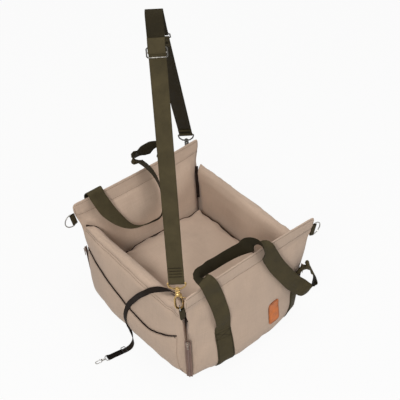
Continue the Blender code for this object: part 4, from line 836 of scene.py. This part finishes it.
def puffed(piece, start, cap):
    # keeps what the simulation did, up to a cap
    mesh = evaluated(piece)
    shift = read(mesh) - start
    bpy.data.meshes.remove(mesh)
    piece.modifiers.clear()
    piece.vertex_groups.clear()
    size = np.linalg.norm(shift, axis=1)
    limit = cap * np.tanh(size / cap) / np.maximum(size, 1e-9)
    set_coords(piece, start + shift * limit[:, None])


def held(z, edge):
    # how firmly a wall's foot and its side edge are sewn
    return max(ease((FOOT_HELD - z) / HELD_FADE), ease((EDGE_HELD - edge) / HELD_FADE))


def end_pins(coords, facing):
    pins = []
    for x, _, z in coords:
        reach = ear_reach(z, facing, -1 if x < 0 else 1)
        hem = crest(facing, min(max(0.5 + 0.5 * x / reach, 0), 1)) * HEM_SHARE
        pins.append(max(ease((z - hem + EDGE_HELD) / EDGE_HELD), held(z, reach - abs(x))))
    return np.array(pins)


def side_pins(coords):
    pins = []
    for _, y, z in coords:
        gap = CORNER_GAP[-1 if y < 0 else 1] * ease((z - ZIP_TOP) / (SIDE_HEIGHT - ZIP_TOP))
        top = 0.6 * ease((z - SIDE_HEIGHT + HELD_FADE) / HELD_FADE)
        pins.append(max(held(z, end_outer(z) - gap - abs(y)), top))
    return np.array(pins)


def cushion_pins(coords):
    return np.array([ease((CUSHION_FOOT - z) / 0.008) for z in coords[:, 2]])


def rumpled(piece, hold):
    # the slack of stuffed cloth: broad swells and a few finer folds
    coords, normals = coords_and_normals(piece)
    free = 1 - 0.85 * np.clip(hold, 0, 1)
    for index, point in enumerate(coords):
        place = Vector(point)
        swell = RUMPLE * noise.noise(place / RUMPLE_PITCH)
        swell += 0.30 * RUMPLE * noise.noise(place / (RUMPLE_PITCH * 0.38))
        coords[index] += normals[index] * swell * free[index]
    set_coords(piece, coords)


def pushed(piece, axis, sign, size, half, power, height, spread, face):
    # a wall's outer face, 1, or inner face, -1, moves along an axis, most at one height and away
    # from the side edges
    coords, normals = coords_and_normals(piece)
    for index, point in enumerate(coords):
        across = 1 - min(abs(point[1 - axis]) / half, 1) ** power
        upward = math.exp(-((point[2] - height) / spread) ** 2)
        coords[index][axis] += sign * size * across * upward * ease(face * normals[index][axis] * sign / 0.4)
    set_coords(piece, coords)


def tucked(piece):
    # the cushion reaches into the hollows of two walls, and its upper rim draws in and down unevenly,
    # so that a dark crease runs round it
    coords = read(piece.data)
    sizes = (HOLLOWS["right_padding"][2], HOLLOWS["back_padding"][2])
    for axis, size in enumerate(sizes):
        coords[:, axis] *= np.where(coords[:, axis] > 0, 1 + size / CUSHION_HALF[axis], 1)
    for index, point in enumerate(coords.copy()):
        upper = ease((point[2] - CUSHION_FOOT) / 0.012)
        for axis, half in enumerate(CUSHION_HALF):
            side, along = math.copysign(1, point[axis]), point[1 - axis]
            half += sizes[axis] if side > 0 else 0
            wave = math.sin(along * 58 + side + axis) + 0.6 * math.sin(along * 137 + 2 * side + 3 * axis)
            near = ease((abs(point[axis]) - half + TUCK_REACH) / TUCK_REACH)
            coords[index][axis] -= side * near * upper * (TUCK_IN + TUCK_WAVE * wave)
            coords[index][2] -= near ** 3 * upper * (TUCK_DROP + TUCK_WAVE * wave)
    set_coords(piece, coords)


# Each padded piece's node, finish, sewn places, inset, shrink, cap and fill
SOFT = {
    "front_padding": ("front_wall", "cloth_xz", lambda c: end_pins(c, -1), 0.0030, 0.030, 0.0042, 0.8),
    "back_padding": ("back_wall", "cloth_xz", lambda c: end_pins(c, 1), 0.0030, 0.030, 0.0042, 0.8),
    "left_padding": ("left_wall", "cloth_yz", side_pins, 0.0030, 0.035, 0.0042, 0.8),
    "right_padding": ("right_wall", "cloth_yz", side_pins, 0.0030, 0.035, 0.0042, 0.8),
    "cushion_cover": ("seat_cushion", "cloth_xy", cushion_pins, 0.0040, 0.030, 0.0060, 0.7),
}
PIECES, starts = {}, {}
for name, (node, finish, pins, inset, shrink, _, _) in SOFT.items():
    PIECES[name] = piece = subdivide(copy_of(node, name, finish))
    starts[name] = ready_to_puff(piece, pins(read(piece.data)), inset, shrink)
scene.frame_start, scene.frame_end = 1, FRAMES
for step in range(1, FRAMES + 1):
    scene.frame_set(step)
for name, start in starts.items():
    puffed(PIECES[name], start, SOFT[name][5])
for name, (node, _, pins, _, _, _, fill) in SOFT.items():
    piece = subdivide(PIECES[name])
    if name in SWELLS:
        axis, sign, size, height = SWELLS[name]
        pushed(piece, axis, sign, size, (BASE_DEPTH, BASE_WIDTH)[axis] / 2, 3, height, SWELL_SPREAD, 1)
    if name in HOLLOWS:
        pushed(piece, *HOLLOWS[name], HOLLOW_HALF, 6, HOLLOW_HEIGHT, HOLLOW_SPREAD, -1)
    if name == "cushion_cover":
        tucked(piece)
    rumpled(piece, pins(read(piece.data)))
    dress(piece, node)


# Seams, topstitching and grooves

def end_point(skin, facing, x, z, outside):
    # a point on an end wall's outer or inner face
    y = facing * (BASE_DEPTH if outside else 0.05)
    return cast(skin, (x, y, z), (0, -facing if outside else facing, 0))


def level_line(skin, facing, height, outside):
    # a line across an end wall, at a height given by a function of the share across
    line = []
    for share in steps(70):
        across = mix(-0.97, 0.97, share)
        z = height((across + 1) / 2)
        x = across * ear_reach(z, facing, -1 if across < 0 else 1)
        line.append(end_point(skin, facing, x, z, outside))
    return line


def end_seams(skin, facing):
    # the hem's seam on both faces, and the topstitching along an end wall's free edges
    hem, edges, heights = [], [], [mix(0.205, 0.350, share) for share in steps(36)]
    for outside in (True, False):
        hem.append(level_line(skin, facing, lambda s: crest(facing, s) * HEM_SHARE, outside))
        edges.append(level_line(skin, facing, lambda s: crest(facing, s) - EDGE_INSET, outside))
        for _, hand in SIDES:
            edges.append([end_point(skin, facing, hand * (ear_reach(z, facing, hand) - EDGE_INSET), z, outside)
                          for z in heights])
    return hem, edges


def side_seams(skin, hand):
    # two rows of topstitching along a side wall's top, on its outer face
    reach = end_outer(SIDE_HEIGHT) - 0.010
    lines = []
    for drop in TOPSTITCHING:
        line = []
        for share in steps(80):
            y = mix(CORNER_GAP[-1] - reach, reach - CORNER_GAP[1], share)
            z = SIDE_HEIGHT - drop - 0.012 * ease(0.5 - share)
            line.append(cast(skin, (hand * 0.30, y, z), (-hand, 0, 0)))
        lines.append(line)
    return lines


for prefix, facing in ENDS:
    piece = PIECES[f"{prefix}_padding"]
    hem, edges = end_seams(skin_of(piece), facing)
    groove(piece, hem, *HEM_GROOVE)
    groove(piece, edges, *EDGE_GROOVE)
    hem, edges = end_seams(skin_of(piece), facing)
    stitches(f"{prefix}_stitching", hem + edges, "thread_and_seam_shade", "cloth")
for prefix, hand in SIDES:
    piece = PIECES[f"{prefix}_padding"]
    groove(piece, side_seams(skin_of(piece), hand), *TOP_GROOVE)
    stitches(f"{prefix}_stitching", side_seams(skin_of(piece), hand), "thread_and_seam_shade", "cloth")


# Cushion crease: a thin dark cord round its upper edge, painted shade standing for the shadow in the crease
skin = skin_of(PIECES["cushion_cover"])
middle = Vector((HOLLOWS["right_padding"][2] / 2, HOLLOWS["back_padding"][2] / 2, CREASE_SHADE_HEIGHT))
rim = []
for step in range(240):
    out = Vector((*rounded(2 * math.pi * step / 240, *CREASE_SHADE_HALF, 2 / 9), 0))
    way = -out.normalized()
    hit, normal = cast(skin, out + middle - way * 0.05, way)
    if hit is not None:
        rim.append(hit + normal * 0.0016)
dress(hoop("cushion_crease_shade", rim, CREASE_SHADE_RADIUS, "crease_shade"))


# Inner corners: dark strips of painted shade, standing for the shadow of the gap where two walls meet
for corner, (facing, hand) in CORNERS.items():
    end, side = corner.split("_")
    side_skin, end_skin = skin_of(PIECES[f"{side}_padding"]), skin_of(PIECES[f"{end}_padding"])
    stations = []
    for share in steps(8):
        z = mix(CORNER_SHADE_LOW, SIDE_HEIGHT - 0.008, share)
        x, y = hand * 0.150, facing * 0.140
        for _ in range(5):
            hit, _ = cast(side_skin, (0, y, z), (hand, 0, 0))
            x = hit[0] - hand * CORNER_SHADE_INSET if hit is not None else x
            hit, _ = cast(end_skin, (x, 0, z), (0, facing, 0))
            y = hit[1] - facing * CORNER_SHADE_INSET if hit is not None else y
        stations.append((x, y, z, hand, -facing, 0))
    dress(strap(f"{corner}_gap_shade_strip", stations, CORNER_SHADE_WIDTH, "binding_and_gap_shade", 0.005)[0])


# Bottom: the cloth panel and the foam; the board keeps its solid
dress(copy_of("base_panel", "bottom_panel", "underside"), "base_panel")
filling = copy_of("booster_foam", "foam_block", "foam")
setup(filling.modifiers.new("Bevel", "BEVEL"), width=0.002, segments=2)
dress(bake(filling), "booster_foam")


# Carry handles: the sewn runs follow the padding, and the loops hang as the solids do

def run_centre(facing, hand, z):
    share = (z - RUN_LOW) / (RUN_TOP - RUN_LOW)
    return HANDLE_SHIFT[facing] + hand * (BASE_WIDTH / 2 - mix(HANDLE_LOW_INSET, HANDLE_INSET, share))


def joined(stations, start, end):
    # a loop's ends, drawn onto the tops of the sewn runs
    points = [Vector(s[:3]) for s in stations]
    for ends, target in ((points, start), (points[::-1], end)):
        shift, run = target - ends[0], 0.0
        before = ends[0].copy()
        for point in ends:
            run += (point - before).length
            before = point.copy()
            point += shift * (1 - ease(run / JOIN_REACH))
    return [(*point, *s[3:]) for point, s in zip(points, stations)]


def sewn_run(prefix, word, facing, hand, columns=6):
    # one handle's run on its wall, with its stitching; gives the place of its top
    def spot(share, across):
        z, aside = mix(RUN_LOW, RUN_TOP, share), across * HANDLE_WIDTH / 2
        return (run_centre(facing, hand, z) + aside, facing * BASE_DEPTH, z), (z, aside), LIFT

    def on_run(share, z):
        x = run_centre(facing, hand, z) + share * HANDLE_WIDTH / 2
        return cast(over, (x, facing * BASE_DEPTH, z), inward)

    skin = skin_of(PIECES[f"{prefix}_padding"])
    inward = (0, -facing, 0)
    run, grid = sheet(f"{prefix}_{word}_run", skin, 40, columns, spot, inward, WEB_THICKNESS, "webbing")
    dress(run, f"{prefix}_handle_{word}_run")
    over = skin_of(run)
    lines = [[on_run(side, mix(RUN_LOW, RUN_TOP, share)) for share in steps(40)[1:-1]]
             for side in (-RUN_SEAM, RUN_SEAM)]
    lines += [[on_run(mix(-RUN_SEAM, RUN_SEAM, share), z) for share in steps(8)] for z in RUN_BARS]
    lines += [[on_run(mix(-side, side, share), mix(*RUN_CROSS, share)) for share in steps(8)]
              for side in (-0.84, 0.84)]
    stitches(f"{prefix}_{word}_run_stitching", lines, "dark_thread_and_groove_shade", "webbing")
    return grid[-1][columns // 2] + Vector((0, facing * WEB_THICKNESS / 2, 0.0002))


# The front loop's painted shade passes to its other face a little past the hem, and the loop turns over at its
# middle, so its left half shows the shaded face; on the back loop the painted shade passes to the other face
# where it leaves its run
LOOP_TURNS_AND_SHADE = {-1: {"shade_switch": 0.240, "turns": ((0.490, 0.095),)}, 1: {"shade_switch": 0.001}}
for prefix, facing in ENDS:
    tops = [sewn_run(prefix, word, facing, hand) for word, hand in SIDES]
    node = f"{prefix}_handle_loop"
    stations = joined(ROUTES[node], *tops)
    loop, _ = strap(f"{prefix}_carry_loop", stations, HANDLE_WIDTH, "webbing", 0.004, **LOOP_TURNS_AND_SHADE[facing])
    dress(loop, node)


# D-rings and their folded tabs
for corner, places in RINGS.items():
    pivot, bar, outward = (Vector(place) for place in places)
    turns, half = [math.pi * share for share in steps(40)], bar * RING_HALF
    points = [pivot + half * math.cos(turn) + outward * RING_DEPTH * math.sin(turn) for turn in turns]
    points += [pivot + half * mix(-1, 1, share) for share in steps(12)[1:-1]]
    dress(hoop(f"{corner}_ring", points, RING_WIRE, "steel"), f"{corner}_d_ring", f"{corner}_ring")
    node = f"{corner}_ring_tab"
    dress(strap(f"{corner}_tab", ROUTES[node], TAB_WIDTH, "tab", 0.0012)[0], node)


# Label: a bare leather patch with a stitched border
label_x, label_z, label_wide, label_tall = LABEL


def label_spot(share, across):
    upward = 1 - 2 * share
    x = across * (label_wide / 2 - 0.20 * label_wide * abs(upward) ** 10)
    z = upward * label_tall / 2
    return (label_x + x, -BASE_DEPTH, label_z + z), (x, z), LIFT


skin = skin_of(PIECES["front_padding"])
label, _ = sheet("label", skin, 24, 14, label_spot, (0, 1, 0), LABEL_THICKNESS, "leather")
dress(label, "label_patch")
over = skin_of(label)
border = []
for share in steps(60):
    x, z = rounded(2 * math.pi * share, label_wide / 2 - LABEL_BORDER, label_tall / 2 - LABEL_BORDER, 0.35)
    border.append(cast(over, (label_x + x, -BASE_DEPTH, label_z + z), (0, 1, 0)))
stitches("label_stitching", [border], "label_thread", "leather", *LABEL_STITCHES)


# Pockets: a sheet over each side wall, with a dark binding at its mouth whose darkness also paints the shadow
# of the mouth's gap

def mouth_height(along):
    end = 1 if along > POCKET_LOWEST else -1
    rise, power = POCKET_RISE[end]
    return POCKET_MOUTH + rise * (abs(along - POCKET_LOWEST) / (1 - end * POCKET_LOWEST)) ** power


for prefix, hand in SIDES:
    def pocket_spot(share, along):
        y, z = POCKET_HALF * along, mix(POCKET_LOW, mouth_height(along), share)
        return (hand * BASE_WIDTH, y, z), (y, z), 0.0005 + 0.0022 * ease(share) ** 3 * (1 - along ** 8)

    def on_pocket(y, z):
        return cast(over, (hand * BASE_WIDTH, y, z), inward)

    skin = skin_of(PIECES[f"{prefix}_padding"])
    name, inward = f"{prefix}_pocket_cloth", (-hand, 0, 0)
    pocket, rows = sheet(name, skin, 30, 80, pocket_spot, inward, POCKET_THICKNESS, "cloth_yz")
    dress(pocket, f"{prefix}_pocket")
    stations = [(*(point + Vector((hand * 0.0006, 0, 0))), 0, 0, 1) for point in rows[-1]]
    name = f"{prefix}_pocket_binding"
    binding_and_gap_shade, _ = strap(name, stations, BINDING_WIDTH, "binding_and_gap_shade", 0.005, BINDING_THICKNESS)
    dress(binding_and_gap_shade)
    over = skin_of(pocket)
    line = [on_pocket(point.y, point.z) for point in rows[-2][1:-1]]
    bars = [[on_pocket(point.y + end * shift, point.z - 0.009 + 0.010 * share) for share in steps(4)]
            for end, point in ((-1, rows[-1][1]), (1, rows[-1][79])) for shift in (0.0, 0.0008, 0.0016)]
    stitches(f"{prefix}_pocket_stitching", [line], "thread_and_seam_shade", "cloth")
    stitches(f"{prefix}_pocket_tacks", bars, "dark_thread_and_groove_shade", "tether", *TACK_STITCHES)


# Corner zips: woven tape, coil teeth; the slider and pull are the solids' own
TOOTH_PITCH = 0.0016
TOOTH_RINGS = ((-0.0020, 0.0004), (-0.0023, 0.0011), (-0.0012, 0.0018), (0.0006, 0.0019), (0.0012, 0.0010))
TOOTH_SECTION = ((-0.0005, -0.0004), (0.0005, -0.0004), (0.0005, 0.0004), (-0.0005, 0.0004))
for corner, (facing, hand) in CORNERS.items():
    low, high = (Vector((hand * side_outer(z), facing * end_outer(z), z)) for z in (ZIP_LOW, ZIP_TOP))
    up = (high - low).normalized()
    out = Vector((hand, facing, 0)).normalized()
    across = up.cross(out).normalized()
    tape = copy_of(f"{corner}_zip_tape", f"{corner}_tape", "tape", False)
    layer = tape.data.uv_layers.new(name="run")
    for loop in tape.data.loops:
        point = tape.data.vertices[loop.vertex_index].co - low
        layer.data[loop.index].uv = (point.dot(up), point.dot(across))
    tape.data.polygons.foreach_set("use_smooth", [False] * len(tape.data.polygons))
    dress(tape, f"{corner}_zip_tape")
    coil = f"{corner}_zip_coil"
    bed = min((Vector(v.co) - low).dot(out) for v in NODES[coil].data.vertices)
    points, faces = [], []
    length = (high - low).length
    count = int(length / TOOTH_PITCH)
    for tooth in range(count):
        base, rings = low + up * (tooth + 0.5) * length / count, []
        for aside, height in TOOTH_RINGS:
            centre = base + across * aside * (1 if tooth % 2 else -1) + out * (bed + height)
            rings.append([centre + up * x + out * y for x, y in TOOTH_SECTION])
        loft(points, faces, rings)
    teeth = link_piece(f"{corner}_teeth", mesh_from(f"{corner}_teeth", points, faces), "coil")
    bm = bmesh.new()
    bm.from_mesh(teeth.data)
    bmesh.ops.recalc_face_normals(bm, faces=bm.faces)
    bm.to_mesh(teeth.data)
    bm.free()
    dress(teeth, coil)


# Shoulder strap, its short end, and their stitches; the side facing the box takes the painted shade
for node, name in (("shoulder_strap", "long_strap"), ("strap_short_end", "short_strap")):
    PIECES[name], _ = strap(name, ROUTES[node], STRAP_WIDTH, "strap", heart=Vector((0, 0, 0.4)))
    dress(PIECES[name], node)


def strap_rows(name, strap_name, centre, along, shifts):
    # rows of stitches across a strap, on both its faces
    skin = skin_of(PIECES[strap_name])
    side = Vector(STRAP_SIDE) / 1000
    out = along.cross(side).normalized()
    lines = []
    for shift in shifts:
        for face in (-1, 1):
            middle = centre + along * shift + out * face * 0.010
            places = [middle + side * mix(-0.85, 0.85, share) * STRAP_WIDTH / 2 for share in steps(10)]
            lines.append([cast(skin, place, -out * face) for place in places])
    stitches(name, lines, "dark_thread_and_groove_shade", "webbing", *STRAP_STITCHES)


front_eye, rear_eye, top = Vector(FRONT_EYE), Vector(REAR_EYE), Vector(STRAP_TOP)
up, down = (top - front_eye).normalized(), (rear_eye - top).normalized()
strap_rows("front_strap_rows", "long_strap", front_eye, up, (0.018, 0.026, 0.034, 0.042))
strap_rows("rear_strap_rows", "short_strap", rear_eye, down, (-0.020, -0.026, -0.032))
strap_rows("upper_strap_rows", "short_strap", top + down * 0.130, down, (0.020, 0.026))


# Tether: a thin free strap to the floor, kept clear of the left wall's swell
skin = skin_of(PIECES["left_padding"])
stations = []
for x, y, z, *way in ROUTES["tether_strap"]:
    hit, _ = cast(skin, (-BASE_WIDTH, y, z), (1, 0, 0))
    if hit is not None and x < -0.22:
        x = min(x, hit[0] - 0.004)
    stations.append((x, y, z, *way))
tether, path = strap("safety_tether", stations, TETHER_WIDTH, "tether", 0.0035)
dress(tether, "tether_strap")
start = Vector(ROUTES["tether_strap"][0][:3])


def anchor_spot(share, across):
    aside, z = across * TETHER_WIDTH / 2, start.z - 0.0003 - ANCHOR_LENGTH * share
    return (0, start.y + aside, z), (z, aside), LIFT


anchor, _ = sheet("tether_patch", skin, 16, 4, anchor_spot, (-1, 0, 0), WEB_THICKNESS, "tether")
dress(anchor, "tether_anchor")
over = skin_of(anchor)
turns = ((-1, -0.003), (1, -0.003), (1, -0.027), (-1, -0.027), (-1, -0.003), (1, -0.027), (1, -0.003),
         (-1, -0.027))
lines = []
for (a, b), (c, d) in zip(turns, turns[1:]):
    places = [(0, start.y + mix(a, c, share) * 0.0062, start.z + mix(b, d, share)) for share in steps(6)]
    lines.append([cast(over, place, (-1, 0, 0)) for place in places])
stitches("tether_patch_stitching", lines, "dark_thread_and_groove_shade", "tether", *ANCHOR_STITCHES)
tuple(path[0])
[tuple(point) for point in path]


# Solids that stay: metal and moulded parts, with their own finishes
KEPT = {"front_hook": "brass", "rear_hook": "gunmetal", "strap_adjuster": "gunmetal",
        "strap_loop_ring": "gunmetal", "tether_hook": "steel", "tether_adjuster": "black",
        "base_board": "board", "zip_slider": "zinc", "zip_pull": "zinc"}
for name, node in NODES.items():
    for part, finish in KEPT.items():
        if part in name:
            node.data.materials.clear()
            node.data.materials.append(MATERIALS[finish])


# Floor, light and camera
FLOOR_HALF = 20
FLOOR_DROP = 0.0005
FLOOR_GLOW = 0.93
WORLD_LEVEL = 0.38
WHITE = (1.0, 1.0, 1.0, 1.0)
n = material("pale_floor")
n.set(Base_Color=(0.60, 0.60, 0.59, 1.0), Roughness=0.9, Specular_IOR_Level=0.1)
glow = n.add("Emission", {0: WHITE, 1: 1.0})
share = n.math("MULTIPLY", n.seen(), FLOOR_GLOW)
mixer = n.add("MixShader", {0: share, 1: n.shader.outputs[0], 2: glow.outputs[0]})
n.tree.links.new(mixer.outputs[0], n.tree.nodes["Material Output"].inputs["Surface"])
corners = [(x * FLOOR_HALF, y * FLOOR_HALF, -FLOOR_DROP) for x, y in ((-1, -1), (1, -1), (1, 1), (-1, 1))]
floor = placed("floor", mesh_from("floor", corners, [(0, 1, 2, 3)]))
floor.data.materials.append(n.owner)

scene.world = bpy.data.worlds.new("studio")
n = Nodes(scene.world, "Background")
level = n.add("MapRange", {"Value": n.seen(), "To Min": WORLD_LEVEL, "To Max": 1.0})
n.shader.inputs[0].default_value = WHITE
n.link(level.outputs[0], 1)


def lamp(name, place, target, energy, size, colour):
    data = setup(bpy.data.lights.new(name, "AREA"), energy=energy, size=size, color=colour)
    setup(placed(name, data), location=place, rotation_mode="QUATERNION",
          rotation_quaternion=(Vector(target) - Vector(place)).to_track_quat("-Z", "Y"))


lamp("key", (-2.35, -1.6, 2.6), (0, 0, 0.15), 66, 0.9, (1.0, 0.985, 0.96))
lamp("top", (0.3, -0.2, 3.2), (0, 0, 0.15), 30, 1.6, (1.0, 0.99, 0.98))
lamp("fill", (1.2, -2.8, 1.4), (0, 0, 0.2), 16, 2.2, (0.97, 0.985, 1.0))

lens = setup(bpy.data.cameras.new("camera"), sensor_width=SENSOR, lens=LENS, clip_end=30)
camera = placed("camera", lens)
turn = Euler((math.pi / 2 - CAMERA_ELEVATION, 0, CAMERA_AZIMUTH))
camera.matrix_world = Matrix.LocRotScale(Vector(CAMERA_PLACE), turn, None)
scene.camera = camera
scene.view_settings.view_transform = "Standard"
